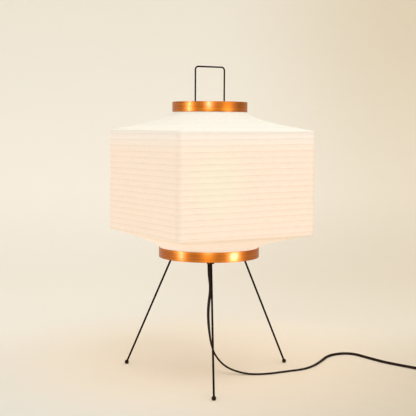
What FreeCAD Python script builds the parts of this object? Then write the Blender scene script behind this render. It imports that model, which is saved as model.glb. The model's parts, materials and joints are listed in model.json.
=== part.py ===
"""Square paper lantern lamp on a three-legged wire stand, as a parametric document.

The lamp's axis is Z and the floor is z = 0. The front leg points along -Y. The shade, its two wire
uprights and the bar between them are turned about the axis by FrameAngle. All sizes are in millimetres.
"""

import FreeCAD, Part
import math
import os

import Sketcher
from FreeCAD import Placement, Rotation, Vector

doc = FreeCAD.newDocument("PaperLanternLamp")
sheet = doc.addObject("Spreadsheet::Sheet", "Sizes")

SIZES = (
    ("StandHeight", 220.0, "floor to the top of the spider, where the bottom hoop sits"),
    ("FrameAngle", 26.4, "turn of the shade and its uprights about the axis, degrees"),
    ("FitGap", 0.05, "clearance of pieces that are pushed or screwed together"),
    ("SoftGap", 0.3, "clearance round paper and bamboo"),
    ("FootCircle", 176.0, "radius from the axis to the middle of a foot"),
    ("LegCircle", 74.0, "radius from the axis to a leg where it meets the spider"),
    ("LegWire", 3.6, "diameter of a leg"),
    ("FootBall", 8.0, "diameter of a ball foot"),
    ("FootFlat", 3.4, "diameter of the flat under a ball foot"),
    ("SocketOuter", 7.0, "diameter of the leg and upright sockets"),
    ("SocketDepth", 9.0, "depth of a leg or an upright in its socket"),
    ("SocketFloor", 2.0, "metal left at the closed end of a socket"),
    ("SpiderPlate", 2.0, "thickness of the spider"),
    ("HubRadius", 38.0, "radius of the spider's middle disc"),
    ("ArmWidth", 8.0, "width of a spider arm and of its lug"),
    ("LugHeight", 9.0, "height of the lug that stands inside the bottom hoop"),
    ("LugWall", 1.5, "thickness of a lug, and of the bar's end tabs"),
    ("HoopHeight", 18.0, "height of both hoops"),
    ("HoopWall", 1.2, "wall of both hoops"),
    ("TopHoopRadius", 68.0, "outer radius of the top hoop"),
    ("BottomHoopRadius", 91.5, "outer radius of the bottom hoop"),
    ("RivetShank", 2.4, "diameter of a rivet"),
    ("RivetHead", 5.0, "diameter of a rivet head"),
    ("RivetHeadHeight", 1.2, "height of a rivet head"),
    ("RivetBite", 0.7, "depth of a rivet in the hoop"),
    ("ShadeSide", 277.0, "side of the square shade, outside the paper"),
    ("ShadeCorner", 9.0, "corner radius of the square shade"),
    ("LowerSlope", 27.0, "rise of the paper from the bottom hoop to the faces"),
    ("FaceHeight", 184.5, "height of the upright faces"),
    ("UpperSlope", 33.0, "rise of the paper from the faces to the top hoop"),
    ("SlopeExponent", 0.62, "how hollow the slopes are: 1 is straight"),
    ("PaperWall", 0.8, "wall of the paper with its glue"),
    ("PaperTuck", 6.5, "length of paper glued inside each hoop"),
    ("RibWire", 1.6, "thickness of the bamboo rib"),
    ("FaceTurns", 18.0, "turns of the rib on the faces"),
    ("RoofTurns", 3.0, "turns of the rib on the upper slope"),
    ("FloorTurns", 2.0, "turns of the rib on the lower slope"),
    ("HandleRise", 64.5, "height of the handle above the top hoop"),
    ("HandleSpacing", 60.0, "distance between the two uprights, middle to middle"),
    ("HandleWire", 2.8, "diameter of the handle and upright wire"),
    ("HandleBend", 6.0, "bend radius of the handle, at the middle of the wire"),
    ("BarDrop", 9.0, "top of the bar below the top edge of the hoop"),
    ("BarWidth", 12.0, "width of the bar across the top hoop"),
    ("BarPlate", 1.5, "thickness of the bar"),
    ("TabHeight", 7.0, "height of the bar's end tabs"),
    ("GripFlange", 9.0, "diameter of a rubber grip's flanges"),
    ("GripWaist", 6.0, "diameter of a rubber grip in the bar"),
    ("GripLip", 1.6, "thickness of a rubber grip's flange"),
    ("GrubScrew", 2.5, "diameter of the screw that holds an upright"),
    ("GrubProud", 0.8, "length of that screw outside its socket"),
    ("NippleOuter", 10.0, "diameter of the threaded tube in the hub"),
    ("NippleBore", 7.0, "bore of the threaded tube"),
    ("NippleReach", 10.0, "length of the threaded tube above the washer"),
    ("NippleTail", 2.0, "length of the threaded tube below its nut"),
    ("NutFlats", 14.0, "width of the nut across its flats"),
    ("NutHeight", 4.0, "height of the nut"),
    ("WasherOuter", 18.0, "diameter of the washer"),
    ("WasherPlate", 1.0, "thickness of the washer"),
    ("GlandTop", 9.0, "diameter of the cord's strain relief at its top"),
    ("GlandTip", 6.6, "diameter of the cord's strain relief at its tip"),
    ("GlandDrop", 7.0, "length of the strain relief below the tube"),
    ("GlandStem", 15.0, "length of the strain relief inside the tube"),
    ("HolderOuter", 38.0, "outer diameter of the lampholder"),
    ("HolderInner", 32.6, "inner diameter of the lampholder"),
    ("HolderCapHeight", 16.0, "height of the lampholder's lower cap"),
    ("HolderCapFloor", 3.0, "floor of the lampholder's lower cap"),
    ("HolderLedge", 3.0, "width of the ledge that the insert sits on"),
    ("HolderSeat", 4.0, "depth of the insert's seat in the cap"),
    ("HolderShellHeight", 36.0, "height of the lampholder's sleeve"),
    ("InsertHeight", 12.0, "height of the ceramic insert"),
    ("ContactWell", 12.0, "diameter of the well for the middle contact"),
    ("ContactWellDepth", 5.0, "depth of the well for the middle contact"),
    ("ContactPlate", 0.8, "thickness of the middle contact's foot"),
    ("ContactPin", 5.0, "diameter of the middle contact's pin"),
    ("ThreadWall", 0.7, "wall of the lampholder's threaded sleeve"),
    ("ThreadGap", 0.3, "clearance of the bulb's cap in the threaded sleeve"),
    ("BulbCapDiameter", 26.0, "diameter of the bulb's screw cap"),
    ("BulbCapHeight", 21.0, "height of the bulb's screw cap"),
    ("BulbCapWall", 0.8, "wall of the bulb's screw cap"),
    ("BulbCapLift", 1.0, "bulb cap's lower edge above the insert"),
    ("TipDiameter", 9.0, "diameter of the bulb's contact"),
    ("TipHeight", 1.5, "height of the bulb's contact"),
    ("InsulatorHeight", 3.0, "height of the bulb's insulating ring"),
    ("BulbDiameter", 50.0, "diameter of the bulb"),
    ("BulbRise", 45.0, "middle of the bulb above its screw cap"),
    ("BulbNeckRise", 31.0, "top of the bulb's neck above its screw cap"),
    ("BulbNeckTop", 41.0, "diameter of the bulb's neck where it meets the globe"),
    ("GlassWall", 1.0, "wall of the bulb's glass"),
    ("StemRise", 34.0, "height of the glass stem in the bulb"),
    ("StemDiameter", 6.0, "diameter of the glass stem"),
    ("FilamentWire", 0.8, "diameter of the filament and its leads"),
    ("FilamentSpan", 24.0, "span of the filament"),
    ("FilamentRise", 14.0, "filament above the top of the stem"),
    ("CordRound", 4.3, "diameter of a round cord of the flat cord's section"),
    ("CordLift", 0.05, "clearance of the cord above the floor"),
    ("CoilMid", 17.5, "radius of the coil's inmost turn"),
    ("CoilStep", 4.9, "step from one turn of the coil to the next, and from layer to layer"),
    ("CoilTurns", 6.5, "turns in the coil"),
    ("CoilLead", 28.5, "straight cord from the switch to the coil"),
    ("CoilLift", 0.9, "coil above the floor, on the strap of its tie"),
    ("TieWidth", 9.0, "width of the coil's tie"),
    ("TieWall", 0.6, "thickness of the coil's tie"),
    ("SwitchLength", 60.0, "length of the in-line switch"),
    ("SwitchWidth", 24.0, "width of the in-line switch"),
    ("SwitchUpper", 9.0, "height of the switch's upper shell"),
    ("SwitchCorner", 5.0, "corner radius of the switch"),
    ("SwitchWellLength", 34.0, "length of the hollow in the switch"),
    ("SwitchWellWidth", 13.0, "width of the hollow in the switch"),
    ("SwitchWellDepth", 4.5, "depth of the hollow in the switch's lower shell"),
    ("RockerLength", 19.0, "length of the rocker"),
    ("RockerWidth", 10.0, "width of the rocker"),
    ("RockerRise", 4.5, "height of the rocker's ends above its pivot"),
    ("RockerDip", 3.0, "height of the rocker's middle above its pivot"),
    ("RockerFoot", 2.0, "depth of the rocker below its pivot"),
    ("RockerTilt", 7.0, "tilt of the rocker when it is on, degrees"),
    ("RockerGap", 0.4, "clearance at the rocker's sides"),
    ("RockerEndGap", 1.0, "clearance at the rocker's ends"),
    ("PivotPin", 2.4, "diameter of the rocker's pivot pins"),
    ("PivotPinLength", 1.8, "length of each pivot pin"),
    ("PivotSink", 2.0, "rocker pivot below the top of the switch"),
    ("SwitchScrew", 2.8, "diameter of the switch's screws"),
    ("SwitchScrewHead", 5.0, "diameter of the switch's screw heads"),
    ("SwitchScrewSink", 2.0, "depth of the screw heads in the lower shell"),
    ("SwitchScrewBite", 5.0, "depth of the screws in the upper shell"),
    ("SwitchScrewInset", 8.0, "screws from the ends of the switch"),
    ("SwitchScrewSide", 8.0, "screws from the middle line of the switch"),
    ("PlugWidth", 24.0, "width of the plug"),
    ("PlugLength", 28.0, "length of the plug's body"),
    ("PlugCorner", 3.0, "corner radius of the plug"),
    ("PlugSleeve", 20.0, "length of the plug's strain relief"),
    ("PlugSleeveRoot", 9.0, "diameter of the plug's strain relief at the body"),
    ("PlugSleeveTip", 6.0, "diameter of the plug's strain relief at the cord"),
    ("BladeSpacing", 12.7, "distance between the plug's blades"),
    ("BladeWidth", 6.35, "width of a blade"),
    ("BladePlate", 1.5, "thickness of a blade"),
    ("BladeLength", 17.0, "length of a blade outside the plug"),
)

for row, (alias, number, meaning) in enumerate(SIZES, 1):
    sheet.set(f"A{row}", meaning)
    sheet.set(f"B{row}", str(number))
    sheet.setAlias(f"B{row}", alias)
doc.recompute()


def size(expression):
    """The number that an expression of sheet values gives."""
    result = sheet.evalExpression(expression)
    return float(getattr(result, "Value", result))


# Levels and radii that follow from the sheet
HOOP_TOP_LOW = "(Sizes.StandHeight + Sizes.HoopHeight)"
FACE_BOTTOM = f"({HOOP_TOP_LOW} + Sizes.LowerSlope)"
FACE_TOP = f"({FACE_BOTTOM} + Sizes.FaceHeight)"
TOP_HOOP_BOTTOM = f"({FACE_TOP} + Sizes.UpperSlope)"
TOP_HOOP_TOP = f"({TOP_HOOP_BOTTOM} + Sizes.HoopHeight)"
HANDLE_TOP = f"({TOP_HOOP_TOP} + Sizes.HandleRise)"
BOTTOM_HOOP_BORE = "(Sizes.BottomHoopRadius - Sizes.HoopWall)"
TOP_HOOP_BORE = "(Sizes.TopHoopRadius - Sizes.HoopWall)"
LUG_FACE = f"(sqrt({BOTTOM_HOOP_BORE}^2 - (Sizes.ArmWidth / 2)^2) - Sizes.FitGap)"
TAB_FACE = f"(sqrt({TOP_HOOP_BORE}^2 - (Sizes.BarWidth / 2)^2) - Sizes.FitGap)"
BALL_LEVEL = "(sqrt(Sizes.FootBall^2 - Sizes.FootFlat^2) / 2)"
LEG_RUN = f"sqrt((Sizes.FootCircle - Sizes.LegCircle)^2 + (Sizes.StandHeight - {BALL_LEVEL})^2)"
LEG_SPLAY = f"atan((Sizes.FootCircle - Sizes.LegCircle) / (Sizes.StandHeight - {BALL_LEVEL}))"
SPIDER_BOTTOM = "(Sizes.StandHeight - Sizes.SpiderPlate)"
NUT_BOTTOM = f"({SPIDER_BOTTOM} - Sizes.NutHeight)"
NIPPLE_BOTTOM = f"({NUT_BOTTOM} - Sizes.NippleTail)"
NIPPLE_HOLE = "(Sizes.NippleOuter / 2 + Sizes.FitGap)"
HOLDER_BOTTOM = "(Sizes.StandHeight + Sizes.WasherPlate)"
HOLDER_JOINT = f"({HOLDER_BOTTOM} + Sizes.HolderCapHeight)"
INSERT_BOTTOM = f"({HOLDER_JOINT} - Sizes.HolderSeat)"
INSERT_TOP = f"({INSERT_BOTTOM} + Sizes.InsertHeight)"
BULB_CAP_BOTTOM = f"({INSERT_TOP} + Sizes.BulbCapLift)"
BULB_CAP_TOP = f"({BULB_CAP_BOTTOM} + Sizes.BulbCapHeight)"
TIP_TOP = f"({BULB_CAP_BOTTOM} - Sizes.InsulatorHeight)"
TIP_BOTTOM = f"({TIP_TOP} - Sizes.TipHeight)"
BULB_MIDDLE = f"({BULB_CAP_TOP} + Sizes.BulbRise)"
STEM_TOP = f"({BULB_CAP_TOP} + Sizes.StemRise)"
BAR_TOP = f"({TOP_HOOP_TOP} - Sizes.BarDrop)"
CORD_FLOOR = "(Sizes.CordRound / 2 + Sizes.CordLift)"
COIL_LOW = "(Sizes.CordRound / 2 + Sizes.CoilLift)"
COIL_HIGH = f"({COIL_LOW} + Sizes.CoilStep)"
COIL_REACH = "(Sizes.CoilMid + Sizes.CoilStep * Sizes.CoilTurns / 2)"
SWITCH_TOP = f"({COIL_HIGH} + Sizes.SwitchUpper)"
PIVOT_LEVEL = f"({SWITCH_TOP} - Sizes.PivotSink)"

# Where the cord meets the in-line switch and the coil's end meets the tail
SWITCH_X, SWITCH_Y = 428.0, -54.0
LEG_NAMES = ("front", "right", "left")
THIRD = 360 / len(LEG_NAMES)
TURNED = "rotationz(Sizes.FrameAngle)"

pieces = {}


def piece(label, made):
    """Registers a finished sub-part under its node name."""
    made.Label = label
    pieces[label] = made
    return made


def at(x="0", y="0", z="0", turn="rotationz(0)"):
    return f"placement(vector({x}; {y}; {z}); {turn})"


def bound(kind, name, place, **sizes):
    """A Part primitive whose sizes and place are expressions."""
    made = doc.addObject(f"Part::{kind}", name)
    for prop, expression in sizes.items():
        made.setExpression(prop, expression)
    made.setExpression("Placement", place)
    return made


def cylinder(name, radius, height, place):
    return bound("Cylinder", name, place, Radius=radius, Height=height)


def cone(name, low, high, height, place):
    return bound("Cone", name, place, Radius1=low, Radius2=high, Height=height)


def box(name, length, width, height, place):
    return bound("Box", name, place, Length=length, Width=width, Height=height)


def fuse(name, *shapes):
    made = doc.addObject("Part::MultiFuse", name)
    made.Shapes = list(shapes)
    return made


def cut(name, base, *tools):
    made = doc.addObject("Part::Cut", name)
    made.Base = base
    made.Tool = tools[0] if len(tools) == 1 else fuse(f"{name}_tools", *tools)
    return made


def group(name, *shapes):
    made = doc.addObject("Part::Compound", name)
    made.Links = list(shapes)
    return made


def turned(made):
    made.setExpression("Placement", at(turn=TURNED))
    return made


def tube_ring(name, outer, bore, height, level):
    """A plain ring about the axis."""
    return cut(
        name,
        cylinder(f"{name}_outer", outer, height, at(z=level)),
        cylinder(f"{name}_bore", bore, height, at(z=level)),
    )


# Sketch helpers for the bodies
def new_body(name):
    return doc.addObject("PartDesign::Body", name)


def sketch_on(body, name, role, x="0", y="0", z="0"):
    """A sketch on one of the body's own planes, moved by expressions in that plane's directions."""
    plane = [f for f in body.Origin.OriginFeatures if f.Role == role][0]
    made = body.newObject("Sketcher::SketchObject", name)
    made.AttachmentSupport = [(plane, "")]
    made.MapMode = "FlatFace"
    for direction, expression in zip("xyz", (x, y, z)):
        made.setExpression(f"AttachmentOffset.Base.{direction}", expression)
    return made


def draw_rectangle(sketch, width, height):
    """A rectangle about the sketch's origin."""
    half_w, half_h = size(width) / 2, size(height) / 2
    corners = [
        Vector(-half_w, -half_h),
        Vector(half_w, -half_h),
        Vector(half_w, half_h),
        Vector(-half_w, half_h),
    ]
    for i in range(4):
        sketch.addGeometry(Part.LineSegment(corners[i], corners[(i + 1) % 4]), False)
    for i in range(4):
        sketch.addConstraint(Sketcher.Constraint("Coincident", i, 2, (i + 1) % 4, 1))
    for i, way in enumerate(("Horizontal", "Vertical", "Horizontal", "Vertical")):
        sketch.addConstraint(Sketcher.Constraint(way, i))
    sketch.addConstraint(Sketcher.Constraint("Symmetric", 0, 1, 2, 1, -1, 1))
    for way, edge, expression in (("DistanceX", 0, width), ("DistanceY", 1, height)):
        n = sketch.addConstraint(Sketcher.Constraint(way, edge, 1, edge, 2, size(expression)))
        sketch.setExpression(f"Constraints[{n}]", expression)


def draw_circle(sketch, radius):
    """A circle about the sketch's origin."""
    sketch.addGeometry(Part.Circle(Vector(), Vector(0, 0, 1), size(radius)), False)
    sketch.addConstraint(Sketcher.Constraint("Coincident", 0, 3, -1, 1))
    n = sketch.addConstraint(Sketcher.Constraint("Radius", 0, size(radius)))
    sketch.setExpression(f"Constraints[{n}]", radius)


def pad(body, sketch, length):
    made = body.newObject("PartDesign::Pad", f"{sketch.Name}_pad")
    made.Profile = sketch
    made.setExpression("Length", length)
    return made


def pocket(body, sketch, length):
    """A cut along the sketch's normal, checked to take material away."""
    doc.recompute()
    before = body.Shape.Volume
    made = body.newObject("PartDesign::Pocket", f"{sketch.Name}_pocket")
    made.Profile = sketch
    made.Reversed = True
    made.setExpression("Length", length)
    doc.recompute()
    if body.Shape.Volume >= before:
        raise RuntimeError(f"{sketch.Name} cuts nothing")
    return made


def round_corners(body, name, radius):
    """Rounds the upright edges of a body's newest block."""
    block = body.Tip
    names = []
    for n, edge in enumerate(block.Shape.Edges, 1):
        bounds = edge.BoundBox
        if bounds.XLength + bounds.YLength < 1e-6:
            names.append(f"Edge{n}")
    made = body.newObject("PartDesign::Fillet", name)
    made.Base = (block, names)
    made.setExpression("Radius", radius)
    body.Tip = made


# Paths and tubes
def rounded_path(points, radius):
    """Straight runs joined by tangent arcs; radius(run before, run after, turn, index) gives each arc."""
    edges = []
    radii = []
    start = points[0]
    for i in range(1, len(points) - 1):
        before = points[i - 1] - points[i]
        after = points[i + 1] - points[i]
        turn = math.pi - before.getAngle(after)
        bend = radius(before.Length, after.Length, turn, i)
        reach = bend * math.tan(turn / 2)
        u, v = before.normalize(), after.normalize()
        first, last = points[i] + u * reach, points[i] + v * reach
        inward = (u + v).normalize()
        middle = points[i] + inward * (bend / math.cos(turn / 2) - bend)
        edges.append(Part.LineSegment(start, first).toShape())
        edges.append(Part.Arc(first, middle, last).toShape())
        radii.append(bend)
        start = last
    edges.append(Part.LineSegment(start, points[-1]).toShape())
    return Part.Wire(edges), radii


def cord_bend(before, after, turn, index):
    """The largest arc that two runs of a cord leave room for."""
    return 0.45 * min(before, after) / math.tan(turn / 2)


def biarc(start, start_way, end, end_way):
    """Two tangent arcs from one point and direction to another."""
    span = end - start
    ways = start_way + end_way
    a = 2 * (1 - start_way.dot(end_way))
    b = span.dot(ways)
    reach = (math.sqrt(b * b + a * span.dot(span)) - b) / a
    first, last = start + start_way * reach, end - end_way * reach
    joint = (first + last) * 0.5
    arcs = []
    for low, corner, high in ((start, first, joint), (joint, last, end)):
        chord = (low + high) * 0.5
        half, rise = (high - low).Length / 2, (corner - chord).Length
        sag = half * math.tan(math.atan2(rise, half) / 2)
        arcs.append(Part.Arc(low, chord + (corner - chord) * (sag / rise), high).toShape())
    return arcs


def tube(name, path, diameter):
    """A round solid along a path, checked against its section times its length."""
    first = path.OrderedEdges[0]
    start = first.valueAt(first.FirstParameter)
    way = first.tangentAt(first.FirstParameter)
    if (path.OrderedVertexes[0].Point - start).Length > 1e-6:
        start = first.valueAt(first.LastParameter)
        way = first.tangentAt(first.LastParameter) * -1
    ring = Part.Wire([Part.Circle(start, way, diameter / 2).toShape()])
    made = path.makePipeShell([ring], True, False)
    expected = math.pi * diameter**2 / 4 * path.Length
    print(f"{name}: length {path.Length:.1f}, volume {made.Volume / expected:.4f} of section times length")
    if abs(made.Volume / expected - 1) > 0.01:
        raise RuntimeError(f"{name} has the wrong volume")
    return made


def least_gap(name, path, diameter, step, apart):
    """Prints the least gap of a tube to itself, from points along its path."""
    points = path.discretize(Distance=step)
    skip = int(apart / step)
    near = apart / 4
    least = min(
        (points[i] - points[j]).Length
        for i in range(len(points))
        for j in range(i + skip, len(points))
        if abs(points[i].z - points[j].z) < near
        and abs(points[i].x - points[j].x) < near
        and abs(points[i].y - points[j].y) < near
    )
    print(f"{name}: least gap to itself {least - diameter:.2f}")
    if least - diameter < 0.4:
        raise RuntimeError(f"{name} runs into itself")


def shaped(label, shape, turn=0.0):
    """A sub-part whose shape is set directly, turned about the axis afterwards."""
    made = doc.addObject("Part::Feature", label)
    made.Shape = shape
    made.Placement = Placement(Vector(), Rotation(Vector(0, 0, 1), turn))
    return piece(label, made)


# Three-armed spider
def leg_place(k, along):
    """The place of something on the line of leg k, a given length up from its foot."""
    turn = f"rotationz({THIRD * k}) * rotationx(-{LEG_SPLAY})"
    way = f"(Sizes.FootCircle - ({along}) * sin({LEG_SPLAY}))"
    level = f"({BALL_LEVEL} + ({along}) * cos({LEG_SPLAY}))"
    return at(f"{way} * sin({THIRD * k})", f"-{way} * cos({THIRD * k})", level, turn)


def rivet_tools(name, k, inner, outer, level):
    """A rivet's shank and head, along a radius turned by k, between two radii."""
    turn = f"rotationz({k}) * rotationx(90)"
    inside = f"({inner} - Sizes.RivetHeadHeight)"
    shank = cylinder(
        f"{name}_shank",
        "Sizes.RivetShank / 2",
        f"{outer} - {inner}",
        at(f"{inner} * sin({k})", f"-{inner} * cos({k})", level, turn),
    )
    head = cylinder(
        f"{name}_head",
        "Sizes.RivetHead / 2",
        "Sizes.RivetHeadHeight",
        at(f"{inside} * sin({k})", f"-{inside} * cos({k})", level, turn),
    )
    return shank, head


def build_spider_and_bottom_hoop():
    body = new_body("spider_blank")
    hub = sketch_on(body, "spider_hub", "XY_Plane", z=SPIDER_BOTTOM)
    draw_circle(hub, "Sizes.HubRadius")
    pad(body, hub, "Sizes.SpiderPlate")
    arm = sketch_on(body, "spider_arm", "XY_Plane", y="-Sizes.BottomHoopRadius / 2", z=SPIDER_BOTTOM)
    draw_rectangle(arm, "Sizes.ArmWidth", "Sizes.BottomHoopRadius")
    arm_pad = pad(body, arm, "Sizes.SpiderPlate")
    lug_y = f"-({LUG_FACE} - Sizes.LugWall / 2)"
    lug = sketch_on(body, "spider_lug", "XY_Plane", y=lug_y, z="Sizes.StandHeight")
    draw_rectangle(lug, "Sizes.ArmWidth", "Sizes.LugWall")
    lug_pad = pad(body, lug, "Sizes.LugHeight")
    doc.recompute()
    arms = body.newObject("PartDesign::PolarPattern", "spider_arms")
    arms.Originals = [arm_pad, lug_pad]
    arms.Axis = ([f for f in body.Origin.OriginFeatures if f.Role == "Z_Axis"][0], [""])
    arms.Angle = 360
    arms.Occurrences = len(LEG_NAMES)
    body.Tip = arms
    hole = sketch_on(body, "spider_hole", "XY_Plane", z=SPIDER_BOTTOM)
    draw_circle(hole, NIPPLE_HOLE)
    pocket(body, hole, "Sizes.SpiderPlate")

    level = "Sizes.StandHeight + Sizes.LugHeight / 2"
    lug_inside = f"({LUG_FACE} - Sizes.LugWall)"
    rivet_end = f"({BOTTOM_HOOP_BORE} + Sizes.RivetBite)"
    rivets = []
    shanks = []
    leg_holes = []
    for k, name in enumerate(LEG_NAMES):
        shank, head = rivet_tools(f"hoop_rivet_{name}", THIRD * k, lug_inside, rivet_end, level)
        shanks.append(shank)
        rivets.append(fuse(f"hoop_rivet_{name}", shank, head))
        along = f"({LEG_RUN} - 3 * Sizes.SpiderPlate)"
        leg_holes.append(
            cylinder(
                f"leg_hole_{name}",
                "Sizes.LegWire / 2 + Sizes.FitGap",
                "6 * Sizes.SpiderPlate",
                leg_place(k, along),
            )
        )
    piece("base_spider", cut("base_spider", body, *leg_holes, *shanks))
    piece("hoop_rivets", group("hoop_rivets", *rivets))
    blank = tube_ring(
        "bottom_hoop_blank",
        "Sizes.BottomHoopRadius",
        BOTTOM_HOOP_BORE,
        "Sizes.HoopHeight",
        "Sizes.StandHeight",
    )
    piece("bottom_hoop", cut("bottom_hoop", blank, *shanks))


# Legs, sockets and ball feet
def build_legs():
    below_floor = box(
        "below_floor",
        "4 * Sizes.FootCircle",
        "4 * Sizes.FootCircle",
        "Sizes.FootBall",
        at("-2 * Sizes.FootCircle", "-2 * Sizes.FootCircle", "-Sizes.FootBall"),
    )
    below_spider = box(
        "below_spider",
        "4 * Sizes.LegCircle",
        "4 * Sizes.LegCircle",
        "Sizes.SocketOuter * 4",
        at("-2 * Sizes.LegCircle", "-2 * Sizes.LegCircle", "Sizes.StandHeight - Sizes.SocketOuter * 4"),
    )
    for k, name in enumerate(LEG_NAMES):
        leg = cylinder(
            f"leg_{name}",
            "Sizes.LegWire / 2",
            f"{LEG_RUN} + Sizes.SocketDepth",
            leg_place(k, "0"),
        )
        piece(f"leg_{name}", leg)
        below = f"({LEG_RUN} - Sizes.SocketOuter)"
        length = "(Sizes.SocketOuter + Sizes.SocketDepth + Sizes.SocketFloor)"
        blank = cylinder(f"leg_socket_{name}_blank", "Sizes.SocketOuter / 2", length, leg_place(k, below))
        bore = cylinder(
            f"leg_socket_{name}_bore",
            "Sizes.LegWire / 2 + Sizes.FitGap",
            f"{LEG_RUN} + Sizes.SocketDepth",
            leg_place(k, "0"),
        )
        piece(f"leg_socket_{name}", cut(f"leg_socket_{name}", blank, bore, below_spider))
        place = at(
            f"Sizes.FootCircle * sin({THIRD * k})", f"-Sizes.FootCircle * cos({THIRD * k})", BALL_LEVEL
        )
        ball = bound("Sphere", f"foot_{name}_ball", place, Radius="Sizes.FootBall / 2")
        piece(f"foot_{name}", cut(f"foot_{name}", ball, below_floor, bore))


# Threaded tube, nut, washer and the cord's strain relief
def build_hub_fittings():
    nipple_height = f"({HOLDER_BOTTOM} + Sizes.NippleReach - {NIPPLE_BOTTOM})"
    piece(
        "hub_tube",
        tube_ring("hub_tube", "Sizes.NippleOuter / 2", "Sizes.NippleBore / 2", nipple_height, NIPPLE_BOTTOM),
    )
    hexagon = doc.addObject("Part::Prism", "hub_nut_hexagon")
    hexagon.Polygon = 6
    hexagon.setExpression("Circumradius", "Sizes.NutFlats / sqrt(3)")
    hexagon.setExpression("Height", "Sizes.NutHeight")
    hexagon.setExpression("Placement", at(z=NUT_BOTTOM))
    bore = cylinder("hub_nut_bore", NIPPLE_HOLE, "Sizes.NutHeight", at(z=NUT_BOTTOM))
    piece("hub_nut", cut("hub_nut", hexagon, bore))
    piece(
        "hub_washer",
        tube_ring(
            "hub_washer",
            "Sizes.WasherOuter / 2",
            NIPPLE_HOLE,
            "Sizes.WasherPlate",
            "Sizes.StandHeight",
        ),
    )
    taper = cone(
        "cord_gland_taper",
        "Sizes.GlandTip / 2",
        "Sizes.GlandTop / 2",
        "Sizes.GlandDrop",
        at(z=f"{NIPPLE_BOTTOM} - Sizes.GlandDrop"),
    )
    stem_radius = "Sizes.NippleBore / 2 - Sizes.FitGap"
    stem = cylinder("cord_gland_stem", stem_radius, "Sizes.GlandStem", at(z=NIPPLE_BOTTOM))
    piece("cord_gland", fuse("cord_gland", taper, stem))


# Lampholder
def build_lampholder():
    inner = "(Sizes.HolderInner / 2)"
    cap = cut(
        "holder_cap",
        cylinder("holder_cap_blank", "Sizes.HolderOuter / 2", "Sizes.HolderCapHeight", at(z=HOLDER_BOTTOM)),
        cylinder(
            "holder_cap_hollow",
            f"{inner} - Sizes.HolderLedge",
            "Sizes.HolderCapHeight",
            at(z=f"{HOLDER_BOTTOM} + Sizes.HolderCapFloor"),
        ),
        cylinder("holder_cap_seat", inner, "Sizes.HolderSeat", at(z=INSERT_BOTTOM)),
        cylinder("holder_cap_hole", NIPPLE_HOLE, "Sizes.HolderCapFloor", at(z=HOLDER_BOTTOM)),
    )
    piece("holder_cap", cap)
    piece(
        "holder_sleeve",
        tube_ring("holder_sleeve", "Sizes.HolderOuter / 2", inner, "Sizes.HolderShellHeight", HOLDER_JOINT),
    )
    well_floor = f"({INSERT_TOP} - Sizes.ContactWellDepth)"
    insert = cut(
        "holder_insert",
        cylinder("holder_insert_blank", f"{inner} - Sizes.FitGap", "Sizes.InsertHeight", at(z=INSERT_BOTTOM)),
        cylinder("holder_insert_well", "Sizes.ContactWell / 2", "Sizes.ContactWellDepth", at(z=well_floor)),
    )
    piece("holder_insert", insert)
    contact = fuse(
        "holder_contact",
        cylinder(
            "holder_contact_foot",
            "Sizes.ContactWell / 2 - Sizes.FitGap",
            "Sizes.ContactPlate",
            at(z=well_floor),
        ),
        cylinder(
            "holder_contact_pin",
            "Sizes.ContactPin / 2",
            f"{TIP_BOTTOM} - {well_floor}",
            at(z=well_floor),
        ),
    )
    piece("holder_contact", contact)
    bore = "(Sizes.BulbCapDiameter / 2 + Sizes.ThreadGap)"
    height = "(Sizes.BulbCapHeight + Sizes.BulbCapLift)"
    piece("holder_thread", tube_ring("holder_thread", f"{bore} + Sizes.ThreadWall", bore, height, INSERT_TOP))


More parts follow.
